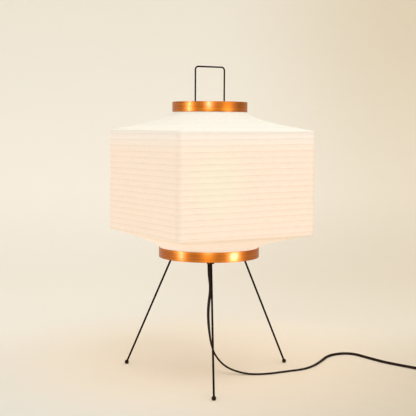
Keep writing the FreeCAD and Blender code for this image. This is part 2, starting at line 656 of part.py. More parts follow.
# Bulb
def build_bulb():
    radius = "(Sizes.BulbCapDiameter / 2)"
    cap = cut(
        "bulb_cap",
        cylinder("bulb_cap_blank", radius, "Sizes.BulbCapHeight", at(z=BULB_CAP_BOTTOM)),
        cylinder(
            "bulb_cap_hollow",
            f"{radius} - Sizes.BulbCapWall",
            "Sizes.BulbCapHeight",
            at(z=f"{BULB_CAP_BOTTOM} + Sizes.BulbCapWall"),
        ),
    )
    piece("bulb_cap", cap)
    ring = cone(
        "bulb_insulator",
        "Sizes.TipDiameter / 2",
        "Sizes.ContactWell / 2 - 2 * Sizes.FitGap",
        "Sizes.InsulatorHeight",
        at(z=TIP_TOP),
    )
    piece("bulb_insulator", ring)
    piece("bulb_tip", cylinder("bulb_tip", "Sizes.TipDiameter / 2", "Sizes.TipHeight", at(z=TIP_BOTTOM)))

    def envelope(name, inset):
        globe = bound(
            "Sphere",
            f"{name}_globe",
            at(z=BULB_MIDDLE),
            Radius=f"Sizes.BulbDiameter / 2 - {inset}",
        )
        neck = cone(
            f"{name}_neck",
            f"{radius} - Sizes.BulbCapWall / 2 - {inset}",
            f"Sizes.BulbNeckTop / 2 - {inset}",
            "Sizes.BulbNeckRise",
            at(z=BULB_CAP_TOP),
        )
        return fuse(name, globe, neck)

    piece(
        "bulb_glass",
        cut("bulb_glass", envelope("bulb_outside", "0"), envelope("bulb_inside", "Sizes.GlassWall")),
    )
    stem_root = f"({radius} - Sizes.BulbCapWall / 2 - Sizes.GlassWall - Sizes.SoftGap)"
    flare = cone(
        "bulb_stem_flare",
        stem_root,
        "Sizes.StemDiameter / 2",
        "Sizes.StemRise / 2",
        at(z=BULB_CAP_TOP),
    )
    rod = cylinder("bulb_stem_rod", "Sizes.StemDiameter / 2", "Sizes.StemRise", at(z=BULB_CAP_TOP))
    piece("bulb_stem", fuse("bulb_stem", flare, rod))
    top = size(STEM_TOP)
    rise = size("Sizes.FilamentRise")
    reach = size("Sizes.FilamentSpan") / 2
    root = size("Sizes.StemDiameter") / 4
    wire = size("Sizes.FilamentWire")
    foot = top + wire / 2
    points = [Vector(-root, 0, foot), Vector(-reach, 0, top + rise)]
    points += [Vector(reach, 0, top + rise), Vector(root, 0, foot)]
    path, radii = rounded_path(points, lambda before, after, turn, index: 3 * wire)
    shaped("bulb_filament", tube("bulb_filament", path, wire))


# Handle and uprights in one bent wire, with their sockets
def build_stretcher():
    wire = size("Sizes.HandleWire")
    half = size("Sizes.HandleSpacing") / 2
    top = size(HANDLE_TOP) - wire / 2
    bottom = size("Sizes.StandHeight + Sizes.SocketFloor")
    turn = size("Sizes.FrameAngle")
    bend = size("Sizes.HandleBend")
    points = [Vector(-half, 0, bottom), Vector(-half, 0, top), Vector(half, 0, top), Vector(half, 0, bottom)]
    path, radii = rounded_path(points, lambda before, after, turn, index: bend)
    shaped("stretcher_handle", tube("stretcher_handle", path, wire), turn)

    screws = []
    for side, sign in (("left", "-1"), ("right", "1")):
        x = f"({sign} * Sizes.HandleSpacing / 2)"
        height = "(Sizes.SocketFloor + Sizes.SocketDepth)"
        blank = cylinder(
            f"upright_socket_{side}_blank",
            "Sizes.SocketOuter / 2",
            height,
            at(x, z="Sizes.StandHeight"),
        )
        bore = cylinder(
            f"upright_socket_{side}_bore",
            "Sizes.HandleWire / 2 + Sizes.FitGap",
            "Sizes.SocketDepth",
            at(x, z="Sizes.StandHeight + Sizes.SocketFloor"),
        )
        start = f"{sign} * (Sizes.HandleSpacing / 2 + Sizes.HandleWire / 2 + Sizes.FitGap)"
        screw = cylinder(
            f"upright_screw_{side}",
            "Sizes.GrubScrew / 2",
            "(Sizes.SocketOuter - Sizes.HandleWire) / 2 + Sizes.GrubProud",
            at(start, z=f"Sizes.StandHeight + {height} / 2", turn=f"rotationy({sign} * 90)"),
        )
        screws.append(screw)
        piece(f"upright_socket_{side}", turned(cut(f"upright_socket_{side}", blank, bore, screw)))
    piece("upright_screws", turned(group("upright_screws", *screws)))


# Top hoop with the bar that slides on the uprights
def build_top():
    body = new_body("top_bar_blank")
    plate = sketch_on(body, "top_bar_plate", "XY_Plane", z=f"{BAR_TOP} - Sizes.BarPlate")
    draw_rectangle(plate, f"2 * {TAB_FACE}", "Sizes.BarWidth")
    pad(body, plate, "Sizes.BarPlate")
    tab = sketch_on(body, "top_bar_tab", "XY_Plane", x=f"{TAB_FACE} - Sizes.LugWall / 2", z=BAR_TOP)
    draw_rectangle(tab, "Sizes.LugWall", "Sizes.BarWidth")
    tab_pad = pad(body, tab, "Sizes.TabHeight")
    doc.recompute()
    both = body.newObject("PartDesign::Mirrored", "top_bar_tabs")
    both.Originals = [tab_pad]
    both.MirrorPlane = ([f for f in body.Origin.OriginFeatures if f.Role == "YZ_Plane"][0], [""])
    body.Tip = both

    level = f"{BAR_TOP} + Sizes.TabHeight / 2"
    inside = f"({TAB_FACE} - Sizes.LugWall)"
    end = f"({TOP_HOOP_BORE} + Sizes.RivetBite)"
    rivets = []
    shanks = []
    holes = []
    for side, sign in (("left", "-1"), ("right", "1")):
        shank, head = rivet_tools(f"bar_rivet_{side}", f"({sign} * 90)", inside, end, level)
        shanks.append(shank)
        rivets.append(fuse(f"bar_rivet_{side}", shank, head))
        x = f"({sign} * Sizes.HandleSpacing / 2)"
        low = f"({BAR_TOP} - Sizes.BarPlate)"
        waist = cylinder(f"grip_{side}_waist", "Sizes.GripWaist / 2", "Sizes.BarPlate", at(x, z=low))
        hole_radius = "Sizes.GripWaist / 2 + Sizes.FitGap"
        holes.append(cylinder(f"grip_{side}_hole", hole_radius, "Sizes.BarPlate", at(x, z=low)))
        height = "(Sizes.BarPlate + 2 * Sizes.GripLip)"
        bore = cylinder(
            f"grip_{side}_bore",
            "Sizes.HandleWire / 2 + Sizes.FitGap",
            height,
            at(x, z=f"{low} - Sizes.GripLip"),
        )
        under = cylinder(
            f"grip_{side}_under",
            "Sizes.GripFlange / 2",
            "Sizes.GripLip",
            at(x, z=f"{low} - Sizes.GripLip"),
        )
        over = cylinder(f"grip_{side}_over", "Sizes.GripFlange / 2", "Sizes.GripLip", at(x, z=BAR_TOP))
        grip = cut(f"bar_grip_{side}", fuse(f"grip_{side}_blank", waist, under, over), bore)
        piece(f"bar_grip_{side}", turned(grip))
    piece("top_bar", turned(cut("top_bar", body, *holes, *shanks)))
    piece("bar_rivets", turned(group("bar_rivets", *rivets)))
    blank = tube_ring(
        "top_hoop_blank",
        "Sizes.TopHoopRadius",
        TOP_HOOP_BORE,
        "Sizes.HoopHeight",
        TOP_HOOP_BOTTOM,
    )
    piece("top_hoop", turned(cut("top_hoop", blank, *shanks)))


# Paper and bamboo
NECK_FLAT = 0.5  # half the straight stretch that keeps a round section's four sides apart
SLOPE_STEPS = (0.0, 0.12, 0.3, 0.6, 1.0)


def shade_section(share, neck, inset=0.0):
    """Half width and corner radius of the shade, from the neck (share 0) to the faces (share 1)."""
    side, corner = size("Sizes.ShadeSide") / 2, size("Sizes.ShadeCorner")
    half = neck + (side - neck) * share
    radius = (neck - NECK_FLAT) + (corner - neck + NECK_FLAT) * share
    return half - inset, max(radius - inset, corner - inset)


def slope_level(share, start, rise):
    """Height on a slope: it leaves the hoop steeply and flattens towards the faces."""
    return start + rise * share ** size("Sizes.SlopeExponent")


def square_wire(half, radius, level):
    """A square with rounded corners, as lines and arcs."""
    edges = []
    for k in range(4):
        turn = Rotation(Vector(0, 0, 1), 90 * k)
        flat = half - radius
        corner = Vector(flat, flat, level)
        arc = [corner + Rotation(Vector(0, 0, 1), a).multVec(Vector(radius, 0, 0)) for a in (0, 45, 90)]
        edges.append(
            Part.LineSegment(turn.multVec(Vector(half, -flat, level)), turn.multVec(arc[0])).toShape(),
        )
        edges.append(Part.Arc(*[turn.multVec(p) for p in arc]).toShape())
    return Part.Wire(edges)


def shade_profile(inset, past):
    """Sections of the shade from its lower to its upper end, inset from the outside of the paper."""
    gap, tuck = size("Sizes.SoftGap"), size("Sizes.PaperTuck")
    low_neck = size(BOTTOM_HOOP_BORE) - gap
    high_neck = size(TOP_HOOP_BORE) - gap
    low, high = size(HOOP_TOP_LOW), size(TOP_HOOP_BOTTOM)
    rows = [(*shade_section(0, low_neck, inset), low - tuck - past)]
    for share in SLOPE_STEPS:
        level = slope_level(share, low, size("Sizes.LowerSlope"))
        rows.append((*shade_section(share, low_neck, inset), level + inset))
    for share in reversed(SLOPE_STEPS):
        level = slope_level(share, high, -size("Sizes.UpperSlope"))
        rows.append((*shade_section(share, high_neck, inset), level - inset))
    rows.append((*shade_section(0, high_neck, inset), high + tuck + past))
    return rows


def build_paper():
    wall = size("Sizes.PaperWall")
    skins = []
    for inset, past in ((0.0, 0.0), (wall, wall)):
        wires = [square_wire(*row) for row in shade_profile(inset, past)]
        skins.append(Part.makeLoft(wires, True, True))
    shaped("paper_shade", skins[0].cut(skins[1]), size("Sizes.FrameAngle"))


def build_rib():
    """One strip of bamboo wound in a square spiral inside the paper."""
    wire = size("Sizes.RibWire")
    inset = size("Sizes.PaperWall") + size("Sizes.SoftGap") + wire / 2
    floor_turns, face_turns, roof_turns = (
        size(f"Sizes.{part}Turns") for part in ("Floor", "Face", "Roof")
    )
    profile = shade_profile(inset, 0.0)
    steps = len(SLOPE_STEPS)
    floor_rows, roof_rows = profile[2 : steps + 1], profile[steps + 1 : 2 * steps]

    def between(rows, share):
        """A section part of the way along a list of sections."""
        place = min(max(share, 0.0), 1.0) * (len(rows) - 1)
        n = min(int(place), len(rows) - 2)
        part = place - n
        return [a + (b - a) * part for a, b in zip(rows[n], rows[n + 1])]

    corners = []
    radii = []
    for n in range(int(4 * (floor_turns + face_turns + roof_turns)) + 1):
        turn = n / 4
        if turn < floor_turns:
            half, radius, level = between(floor_rows, turn / floor_turns)
        elif turn <= floor_turns + face_turns:
            half, radius, level = between([floor_rows[-1], roof_rows[0]], (turn - floor_turns) / face_turns)
        else:
            half, radius, level = between(roof_rows, (turn - floor_turns - face_turns) / roof_turns)
        corners.append(Rotation(Vector(0, 0, 1), 90 * n).multVec(Vector(half, half, level)))
        radii.append(radius)
    corners.insert(0, (corners[0] + Rotation(Vector(0, 0, 1), -90).multVec(corners[0])) * 0.5)
    corners.append((corners[-1] + Rotation(Vector(0, 0, 1), 90).multVec(corners[-1])) * 0.5)
    path, bends = rounded_path(corners, lambda before, after, turn, index: radii[index - 1])
    print(f"bamboo_rib: bends {min(bends):.1f} to {max(bends):.1f}")
    least_gap("bamboo_rib", path, wire, step=4.0, apart=120.0)
    shaped("bamboo_rib", tube("bamboo_rib", path, wire), size("Sizes.FrameAngle"))


# Mains cord, its coil and what is on it
def build_cord():
    cord = size("Sizes.CordRound")
    floor, high, low = size(CORD_FLOOR), size(COIL_HIGH), size(COIL_LOW)
    exit_level = size(f"{NIPPLE_BOTTOM} - Sizes.GlandDrop")
    lead = [
        (0, 0, exit_level),
        (0, 0, 187),
        (4, 0, 161),
        (-1.5, 0, 123),
        (0.5, 0, 84),
        (7.5, -1, 42),
        (31, 3, 12),
        (68, -7, floor),
        (104, -9, floor),
        (148, 12, floor),
        (190, 31, floor),
        (222, 82, floor),
        (249, 140, floor),
        (296, 157, floor),
        (326, 106, floor),
        (350, 70, floor),
        (384, 37, floor),
        (412, 5, floor + 1),
        (SWITCH_X, -26, high),
        (SWITCH_X, SWITCH_Y, high),
    ]
    path, radii = rounded_path([Vector(*p) for p in lead], cord_bend)
    print("cord_lead: radii " + ", ".join(f"{r:.0f}" for r in radii))
    shaped("cord_lead", tube("cord_lead", path, cord))

    # The coil is wound inwards on the upper layer and outwards on the lower one.
    reach, mid, step = size(COIL_REACH), size("Sizes.CoilMid"), size("Sizes.CoilStep")
    half_turns = size("Sizes.CoilTurns") / 2
    start_y = SWITCH_Y - size("Sizes.SwitchLength")
    run_in = size("Sizes.CoilLead")
    centre = Vector(SWITCH_X + reach, start_y - run_in, 0)

    def coil_point(s):
        angle = math.radians(270 + 360 * s)
        radius = mid + step * abs(s)
        climb = 0.5 - 0.5 * math.sin(math.pi * min(max(s / 0.25, -1), 1) / 2)
        out = Vector(math.cos(angle), math.sin(angle), 0) * radius
        return centre + out + Vector(0, 0, low + (high - low) * climb)

    nudge = 1e-4
    stations = [-half_turns + 0.25 * k for k in range(int(8 * half_turns) + 1)]
    points = [coil_point(s) for s in stations]
    ways = [(coil_point(s + nudge) - coil_point(s - nudge)).normalize() for s in stations]
    ways[0], ways[-1] = Vector(0, -1, 0), Vector(0, 1, 0)
    edges = [Part.LineSegment(points[0] - ways[0] * run_in, points[0]).toShape()]
    for k in range(len(points) - 1):
        edges += biarc(points[k], ways[k], points[k + 1], ways[k + 1])
    edges.append(Part.LineSegment(points[-1], points[-1] + ways[-1] * cord).toShape())
    path = Part.Wire(edges)
    least_gap("cord_coil", path, cord, step=1.5, apart=40.0)
    shaped("cord_coil", tube("cord_coil", path, cord))

    tail_x, tail_y = points[-1].x, points[-1].y + cord
    tail = [
        (tail_x, tail_y, low),
        (tail_x, tail_y + 15, low),
        (tail_x, tail_y + 31, high),
        (tail_x, tail_y + 46, high),
    ]
    path, radii = rounded_path([Vector(*p) for p in tail], cord_bend)
    print("cord_tail: radii " + ", ".join(f"{r:.0f}" for r in radii))
    shaped("cord_tail", tube("cord_tail", path, cord))
    build_tie(centre)
    build_switch()
    build_plug(tail_x, tail_y + 46)


def build_tie(centre):
    """A strap round the turns of the coil, on the side away from the switch."""
    wall = "Sizes.TieWall"
    slack = "(Sizes.TieWidth^2 / (8 * Sizes.CoilMid) + Sizes.SoftGap)"
    near = f"(Sizes.CoilMid - Sizes.CordRound / 2 - {slack})"
    far = f"({COIL_REACH} + Sizes.CordRound / 2 + Sizes.SoftGap)"
    top = f"({COIL_HIGH} + Sizes.CordRound / 2 + Sizes.SoftGap)"
    left = f"{centre.x} - Sizes.TieWidth / 2"
    outer = box(
        "coil_tie_outer",
        "Sizes.TieWidth",
        f"{far} - {near} + 2 * {wall}",
        f"{top} + {wall}",
        at(left, f"{centre.y} - {far} - {wall}"),
    )
    inner = box(
        "coil_tie_inner",
        "Sizes.TieWidth",
        f"{far} - {near}",
        f"{top} - {wall}",
        at(left, f"{centre.y} - {far}", wall),
    )
    piece("coil_tie", cut("coil_tie", outer, inner))


def build_switch():
    middle_y = f"{SWITCH_Y} - Sizes.SwitchLength / 2"

    def block(name, level, height):
        body = new_body(f"{name}_blank")
        outline = sketch_on(body, f"{name}_outline", "XY_Plane", str(SWITCH_X), middle_y, level)
        draw_rectangle(outline, "Sizes.SwitchWidth", "Sizes.SwitchLength")
        pad(body, outline, height)
        doc.recompute()
        round_corners(body, f"{name}_corners", "Sizes.SwitchCorner")
        return body

    lower = block("switch_lower", "0", COIL_HIGH)
    well = sketch_on(
        lower,
        "switch_well",
        "XY_Plane",
        str(SWITCH_X),
        middle_y,
        f"{COIL_HIGH} - Sizes.SwitchWellDepth",
    )
    draw_rectangle(well, "Sizes.SwitchWellWidth", "Sizes.SwitchWellLength")
    pocket(lower, well, "Sizes.SwitchWellDepth")
    upper = block("switch_upper", COIL_HIGH, "Sizes.SwitchUpper")
    slot = sketch_on(upper, "switch_slot", "XY_Plane", str(SWITCH_X), middle_y, COIL_HIGH)
    draw_rectangle(
        slot, "Sizes.RockerWidth + 2 * Sizes.RockerGap", "Sizes.RockerLength + 2 * Sizes.RockerEndGap"
    )
    pocket(upper, slot, "Sizes.SwitchUpper")

    screws = []
    tools = []
    for n, sign in enumerate(("-1", "1")):
        x = f"{SWITCH_X} + {sign} * Sizes.SwitchScrewSide"
        y = f"{middle_y} + {sign} * (Sizes.SwitchLength / 2 - Sizes.SwitchScrewInset)"
        head = cylinder(
            f"switch_screw_head_{n}",
            "Sizes.SwitchScrewHead / 2",
            "Sizes.SwitchScrewSink / 2",
            at(x, y, "Sizes.SwitchScrewSink / 2"),
        )
        well = cylinder(
            f"switch_screw_well_{n}",
            "Sizes.SwitchScrewHead / 2 + Sizes.FitGap",
            "Sizes.SwitchScrewSink",
            at(x, y),
        )
        shank = cylinder(
            f"switch_screw_shank_{n}",
            "Sizes.SwitchScrew / 2",
            f"{COIL_HIGH} + Sizes.SwitchScrewBite - Sizes.SwitchScrewSink",
            at(x, y, "Sizes.SwitchScrewSink"),
        )
        hole = cylinder(
            f"switch_screw_hole_{n}",
            "Sizes.SwitchScrew / 2 + Sizes.FitGap",
            f"{COIL_HIGH} + Sizes.SwitchScrewBite",
            at(x, y),
        )
        screws.append(fuse(f"switch_screw_{n}", head, shank))
        tools += [well, hole]
    pin_length = "(Sizes.RockerWidth + 2 * Sizes.PivotPinLength)"
    across = f"{SWITCH_X} - {pin_length} / 2"
    pin_hole = cylinder(
        "rocker_pin_hole",
        "Sizes.PivotPin / 2 + Sizes.FitGap",
        f"{pin_length} + 2 * Sizes.FitGap",
        at(f"{across} - Sizes.FitGap", middle_y, PIVOT_LEVEL, "rotationy(90)"),
    )
    piece("switch_lower_shell", cut("switch_lower_shell", lower, *tools))
    piece("switch_upper_shell", cut("switch_upper_shell", upper, *tools, pin_hole))
    piece("switch_screws", group("switch_screws", *screws))
    well_floor = f"({COIL_HIGH} - Sizes.SwitchWellDepth)"
    strip = box(
        "switch_contact",
        "Sizes.SwitchWellWidth / 2",
        "Sizes.SwitchWellLength * 0.8",
        "Sizes.ContactPlate",
        at(
            f"{SWITCH_X} - Sizes.SwitchWellWidth / 4",
            f"{middle_y} - Sizes.SwitchWellLength * 0.4",
            well_floor,
        ),
    )
    piece("switch_contact", strip)

    half, rise = size("Sizes.RockerLength") / 2, size("Sizes.RockerRise")
    dip, foot, width = size("Sizes.RockerDip"), size("Sizes.RockerFoot"), size("Sizes.RockerWidth")
    outline = [Vector(0, -half, -foot), Vector(0, half, -foot), Vector(0, half, rise)]
    outline += [Vector(0, 0, dip), Vector(0, -half, rise), Vector(0, -half, -foot)]
    paddle = Part.Face(Part.makePolygon(outline)).extrude(Vector(width, 0, 0))
    paddle.translate(Vector(-width / 2, 0, 0))
    pin = Part.makeCylinder(
        size("Sizes.PivotPin") / 2, size(pin_length), Vector(-size(pin_length) / 2, 0, 0), Vector(1, 0, 0)
    )
    rocker = doc.addObject("Part::Feature", "switch_rocker")
    rocker.Shape = paddle.fuse(pin).removeSplitter()
    rocker.setExpression("Placement", at(str(SWITCH_X), middle_y, PIVOT_LEVEL, "rotationx(Sizes.RockerTilt)"))
    piece("switch_rocker", rocker)


def build_plug(x, y):
    """A two-blade plug at the cord's end, lying on its side of the floor."""
    height = f"(2 * {COIL_HIGH})"
    face = f"({y} + Sizes.PlugSleeve)"
    body = new_body("plug_blank")
    outline = sketch_on(body, "plug_outline", "XY_Plane", str(x), f"{face} + Sizes.PlugLength / 2", "0")
    draw_rectangle(outline, "Sizes.PlugWidth", "Sizes.PlugLength")
    pad(body, outline, height)
    doc.recompute()
    round_corners(body, "plug_corners", "Sizes.PlugCorner")
    sleeve = cone(
        "plug_sleeve",
        "Sizes.PlugSleeveTip / 2",
        "Sizes.PlugSleeveRoot / 2",
        "Sizes.PlugSleeve",
        at(str(x), str(y), COIL_HIGH, "rotationx(-90)"),
    )
    piece("plug_body", fuse("plug_body", body, sleeve))
    blades = []
    for side, sign in (("left", "-1"), ("right", "1")):
        blades.append(
            box(
                f"plug_blade_{side}",
                "Sizes.BladePlate",
                "Sizes.BladeLength",
                "Sizes.BladeWidth",
                at(
                    f"{x} + {sign} * Sizes.BladeSpacing / 2 - Sizes.BladePlate / 2",
                    f"{face} + Sizes.PlugLength",
                    f"{COIL_HIGH} - Sizes.BladeWidth / 2",
                ),
            )
        )
    piece("plug_blades", group("plug_blades", *blades))


build_spider_and_bottom_hoop()
build_legs()
build_hub_fittings()
build_lampholder()
build_bulb()
build_stretcher()
build_top()
build_paper()
build_rib()
build_cord()
doc.recompute()

for made in doc.Objects:
    if "Invalid" in made.State or "Error" in made.State:
        raise RuntimeError(f"{made.Label} failed: {made.State}")
for label, made in pieces.items():
    if made.Shape.isNull() or not made.Shape.isValid() or not made.Shape.Solids:
        raise RuntimeError(f"{label} has no valid solid")

os.makedirs("parts", exist_ok=True)
for label, made in pieces.items():
    made.Shape.exportStep(f"parts/{label}.step")
print(f"{len(pieces)} sub-parts written")
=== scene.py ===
"""Dresses the paper lantern lamp: paper, bamboo, brushed copper, painted wire, bulb, cord and stage."""

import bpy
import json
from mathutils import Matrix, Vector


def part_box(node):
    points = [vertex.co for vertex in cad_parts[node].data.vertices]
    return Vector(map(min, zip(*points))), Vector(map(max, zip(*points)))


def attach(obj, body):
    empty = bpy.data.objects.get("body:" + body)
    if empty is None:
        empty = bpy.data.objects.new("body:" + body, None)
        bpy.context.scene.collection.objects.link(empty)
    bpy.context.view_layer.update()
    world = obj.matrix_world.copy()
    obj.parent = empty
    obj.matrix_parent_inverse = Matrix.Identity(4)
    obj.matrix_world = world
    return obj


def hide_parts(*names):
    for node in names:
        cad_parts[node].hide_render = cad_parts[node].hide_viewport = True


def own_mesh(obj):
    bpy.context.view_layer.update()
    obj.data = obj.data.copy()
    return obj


bl_info = {
    "name": "Paper Lantern Lamp",
    "version": (1, 0, 0),
    "blender": (4, 5, 0),
    "location": "View3D > Sidebar > Lantern",
    "description": "Builds the visible pieces and finishes of a square paper lantern lamp",
    "category": "Object",
}

import json
import math
from contextlib import contextmanager
from itertools import product

import bmesh
import bpy
from bpy.props import FloatProperty, FloatVectorProperty, IntProperty, PointerProperty
from mathutils import Matrix, Vector

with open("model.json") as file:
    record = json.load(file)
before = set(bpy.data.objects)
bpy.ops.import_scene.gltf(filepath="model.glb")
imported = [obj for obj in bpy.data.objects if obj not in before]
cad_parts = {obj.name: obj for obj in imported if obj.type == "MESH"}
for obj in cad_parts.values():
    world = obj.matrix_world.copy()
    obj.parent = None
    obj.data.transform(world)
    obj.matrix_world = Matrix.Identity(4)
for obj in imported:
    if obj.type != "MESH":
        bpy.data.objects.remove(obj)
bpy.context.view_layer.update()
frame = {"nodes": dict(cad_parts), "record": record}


def srgb(red, green, blue):
    """A colour given as screen values, as the linear numbers that shaders use."""
    return tuple(
        c / 12.92 if c <= 0.04045 else ((c + 0.055) / 1.055) ** 2.4
        for c in (red / 255, green / 255, blue / 255)
    )


def scaled(tint, factor):
    return tuple(c * factor for c in tint)


def length(label, default, about):
    return FloatProperty(name=label, default=default, description=about, unit="LENGTH", precision=5)


def share(label, default, about, top=1.0):
    return FloatProperty(name=label, default=default, description=about, min=0.0, max=top)


def turned(label, degrees, about):
    return FloatProperty(name=label, default=math.radians(degrees), description=about, subtype="ANGLE")


def colour(label, screen, about):
    tint = srgb(*screen)
    return FloatVectorProperty(name=label, default=tint, description=about, subtype="COLOR", min=0, max=1)


# Settings
class PaperSettings(bpy.types.PropertyGroup):
    side: length("Side", 0.277, "Side of the square shade")
    corner: length("Corner", 0.009, "Corner radius of the square shade")
    neck_flat: length("Neck flat", 0.0005, "Half of the short straight on each side of a neck")
    low_neck: length("Lower neck", 0.0900, "Half width of the paper inside the bottom hoop")
    high_neck: length("Upper neck", 0.0665, "Half width of the paper inside the top hoop")
    lower_slope: length("Lower slope", 0.027, "Rise from the bottom hoop to the faces")
    upper_slope: length("Upper slope", 0.033, "Rise from the faces to the top hoop")
    slope_exponent: share("Slope exponent", 0.62, "How hollow the slopes are")
    tuck: length("Tuck", 0.0065, "Paper glued inside each hoop")
    turn: turned("Turn", 26.4, "Turn of the shade about the axis")
    floor_turns: IntProperty(name="Floor turns", default=2, description="Rib turns on the lower slope")
    face_turns: IntProperty(name="Face turns", default=18, description="Rib turns on the faces")
    roof_turns: IntProperty(name="Roof turns", default=3, description="Rib turns on the upper slope")
    sag: length("Sag", 0.0004, "How far the paper sinks between two ribs")
    wall: length("Thickness", 0.0005, "Thickness of the paper")
    tint: colour("Paper", (226, 216, 205), "Colour of the paper")
    # Rib line: the rib behind the paper and its painted shadow in the light from inside
    rib_and_shadow_tint: colour("Rib line", (150, 182, 168), "Colour of the paper over a rib")
    lap_tint: colour("Lap", (196, 178, 156), "Colour of the paper where two sheets lap at a corner")
    # The glow colours are painted light: emission laid on the paper by place, standing in for the bulb's
    # light through it
    glow_near: colour("Near glow", (148, 135, 102), "Light through the paper near the bulb")
    glow_face: colour("Face glow", (157, 127, 100), "Light through the faces of the paper")
    glow_low: colour("Lower glow", (174, 156, 142), "Light through the lower slope of the paper")
    # Brow: painted light from above on the top of the faces, not light through the paper
    painted_brow_light: colour("Brow glow", (152, 138, 125), "Light through the top of the faces")
    glow_top: colour("Upper glow", (108, 118, 107), "Light through the upper slope of the paper")


class RibSettings(bpy.types.PropertyGroup):
    thickness: length("Thickness", 0.0016, "Thickness of the bamboo strip")
    inset: length("Inset", 0.0019, "Middle of the strip inside the outside of the paper")
    bend: length("Bend", 0.004, "Smallest radius of the strip's bends")
    tint: colour("Bamboo", (222, 190, 140), "Colour of the bamboo")


class HoopSettings(bpy.types.PropertyGroup):
    wall: length("Wall", 0.0012, "Thickness of the hoop's sheet")
    lip: length("Lip", 0.0005, "Radius of the hoop's edges")
    tint: colour("Copper", (206, 118, 4), "Colour of the brushed copper")
    streak: colour("Streak", (172, 86, 2), "Colour of the darker brush marks")


class WireSettings(bpy.types.PropertyGroup):
    tint: colour("Paint", (22, 9, 0), "Colour of the painted wire")
    worn: colour("Worn paint", (34, 19, 7), "Colour of the thin paint on the high spots")


class BulbSettings(bpy.types.PropertyGroup):
    tint: colour("Opal", (255, 240, 216), "Colour of the opal glass")
    glow: share("Glow", 2.0, "Strength of the lit glass", 20.0)


class CordSettings(bpy.types.PropertyGroup):
    width: length("Width", 0.0052, "Width of the flat twin cord")
    thickness: length("Thickness", 0.0032, "Thickness of the flat twin cord")
    groove: length("Groove", 0.0004, "Depth of the groove between the two cores")
    lift: length("Lift", 0.0009, "Coil above the floor, on the strap of its tie")
    mid: length("Inmost turn", 0.0175, "Radius of the coil's inmost turn")
    step: length("Step", 0.0049, "Step from one turn of the coil to the next")
    turns: FloatProperty(name="Turns", default=6.5, description="Turns in the coil")
    lead_in: length("Lead", 0.0285, "Straight cord from the switch to the coil")
    tint: colour("Sheath", (32, 17, 5), "Colour of the cord")
    strap_width: length("Strap width", 0.009, "Width of the coil's tie")
    strap_wall: length("Strap thickness", 0.0006, "Thickness of the coil's tie")
    strap_bend: length("Strap bend", 0.002, "Inner radius of the tie's corners")


class FastenerSettings(bpy.types.PropertyGroup):
    rivet_head: length("Rivet head", 0.005, "Diameter of a rivet's head")
    rivet_rise: length("Rivet rise", 0.0012, "Height of a rivet's head")
    rivet_shank: length("Rivet shank", 0.0024, "Diameter of a rivet's shank")
    grub_head: length("Grub head", 0.0025, "Diameter of an upright screw's end")
    grub_rise: length("Grub rise", 0.0004, "Height of an upright screw's end")
    grub_shank: length("Grub shank", 0.00249, "Diameter of an upright screw's shank")
    grub_slot: length("Grub slot", 0.00056, "Width of an upright screw's slot")
    screw_head: length("Screw head", 0.005, "Diameter of a switch screw's head")
    screw_rise: length("Screw rise", 0.0007, "Height of a switch screw's head")
    screw_shank: length("Screw shank", 0.0028, "Diameter of a switch screw's shank")
    slot: length("Slot", 0.0008, "Width of a switch screw's slot")
    case_edge: length("Case edge", 0.0012, "Rounding of the moulded cases' edges")


class StageSettings(bpy.types.PropertyGroup):
    # Backdrop colours hold painted light: lighter on the lit side, darker on the dim side, a brighter bend
    # behind the lamp and a painted pool of the lamp's light
    wall_left: colour("Wall, left", (251, 245, 232), "Backdrop on the lit side")
    wall_right: colour("Wall, right", (239, 226, 202), "Backdrop on the dim side")
    floor_left: colour("Floor, left", (226, 223, 213), "Floor on the lit side")
    floor_right: colour("Floor, right", (210, 198, 177), "Floor on the dim side")
    sweep_left: colour("Sweep, left", (253, 245, 231), "Bend behind the lamp on the lit side")
    sweep_right: colour("Sweep, right", (243, 232, 212), "Bend behind the lamp on the dim side")
    pool: colour("Pool", (255, 238, 214), "Floor that the lamp lights")
    distance: length("Camera distance", 1.816, "Level distance from the axis to the camera")
    height: length("Camera height", 0.4575, "Camera above the floor")
    azimuth: turned("Azimuth", -3.18, "Camera round the axis")
    lens: FloatProperty(name="Lens", default=86.5, description="Focal length in millimetres", unit="CAMERA")


# Small helpers for meshes
def link(name, data):
    made = bpy.data.objects.new(name, data)
    bpy.context.scene.collection.objects.link(made)
    return made


def polar(reach, angle, level):
    """A point at a distance from the axis, an angle round it and a height."""
    return Vector((reach * math.cos(angle), reach * math.sin(angle), level))


def smoothed(mesh):
    for face in mesh.polygons:
        face.use_smooth = True
    return mesh


def mesh_of(name, points, faces=(), edges=()):
    mesh = bpy.data.meshes.new(name)
    mesh.from_pydata([tuple(p) for p in points], edges, faces)
    mesh.update()
    return smoothed(mesh)


@contextmanager
def editing(mesh):
    """A mesh opened for editing, and written back afterwards."""
    work = bmesh.new()
    work.from_mesh(mesh)
    yield work
    work.to_mesh(mesh)
    work.free()


def outward(mesh):
    with editing(mesh) as work:
        bmesh.ops.recalc_face_normals(work, faces=work.faces)
    return mesh


def lofted(name, rings, closed=False, capped=False):
    """A skin through rings of points, open, closed on itself or closed by end caps."""
    count = len(rings[0])
    faces = []
    for r in range(len(rings) if closed else len(rings) - 1):
        a, b = r * count, (r + 1) % len(rings) * count
        for c in range(count):
            n = (c + 1) % count
            faces.append((a + c, a + n, b + n, b + c))
    if capped:
        faces.append(tuple(range(count)))
        faces.append(tuple((len(rings) - 1) * count + c for c in reversed(range(count))))
    mesh = mesh_of(name, [point for ring in rings for point in ring], faces)
    return outward(mesh) if closed or capped else mesh


def rounded_outline(low, high, radius, steps):
    """Points round a rectangle with rounded corners, each corner with a number of points."""
    outline = []
    for x, y, start in (
        (high[0] - radius, high[1] - radius, 0),
        (low[0] + radius, high[1] - radius, 90),
        (low[0] + radius, low[1] + radius, 180),
        (high[0] - radius, low[1] + radius, 270),
    ):
        for k in range(steps):
            a = math.radians(start + 90 * k / (steps - 1))
            outline.append((x + radius * math.cos(a), y + radius * math.sin(a)))
    return outline


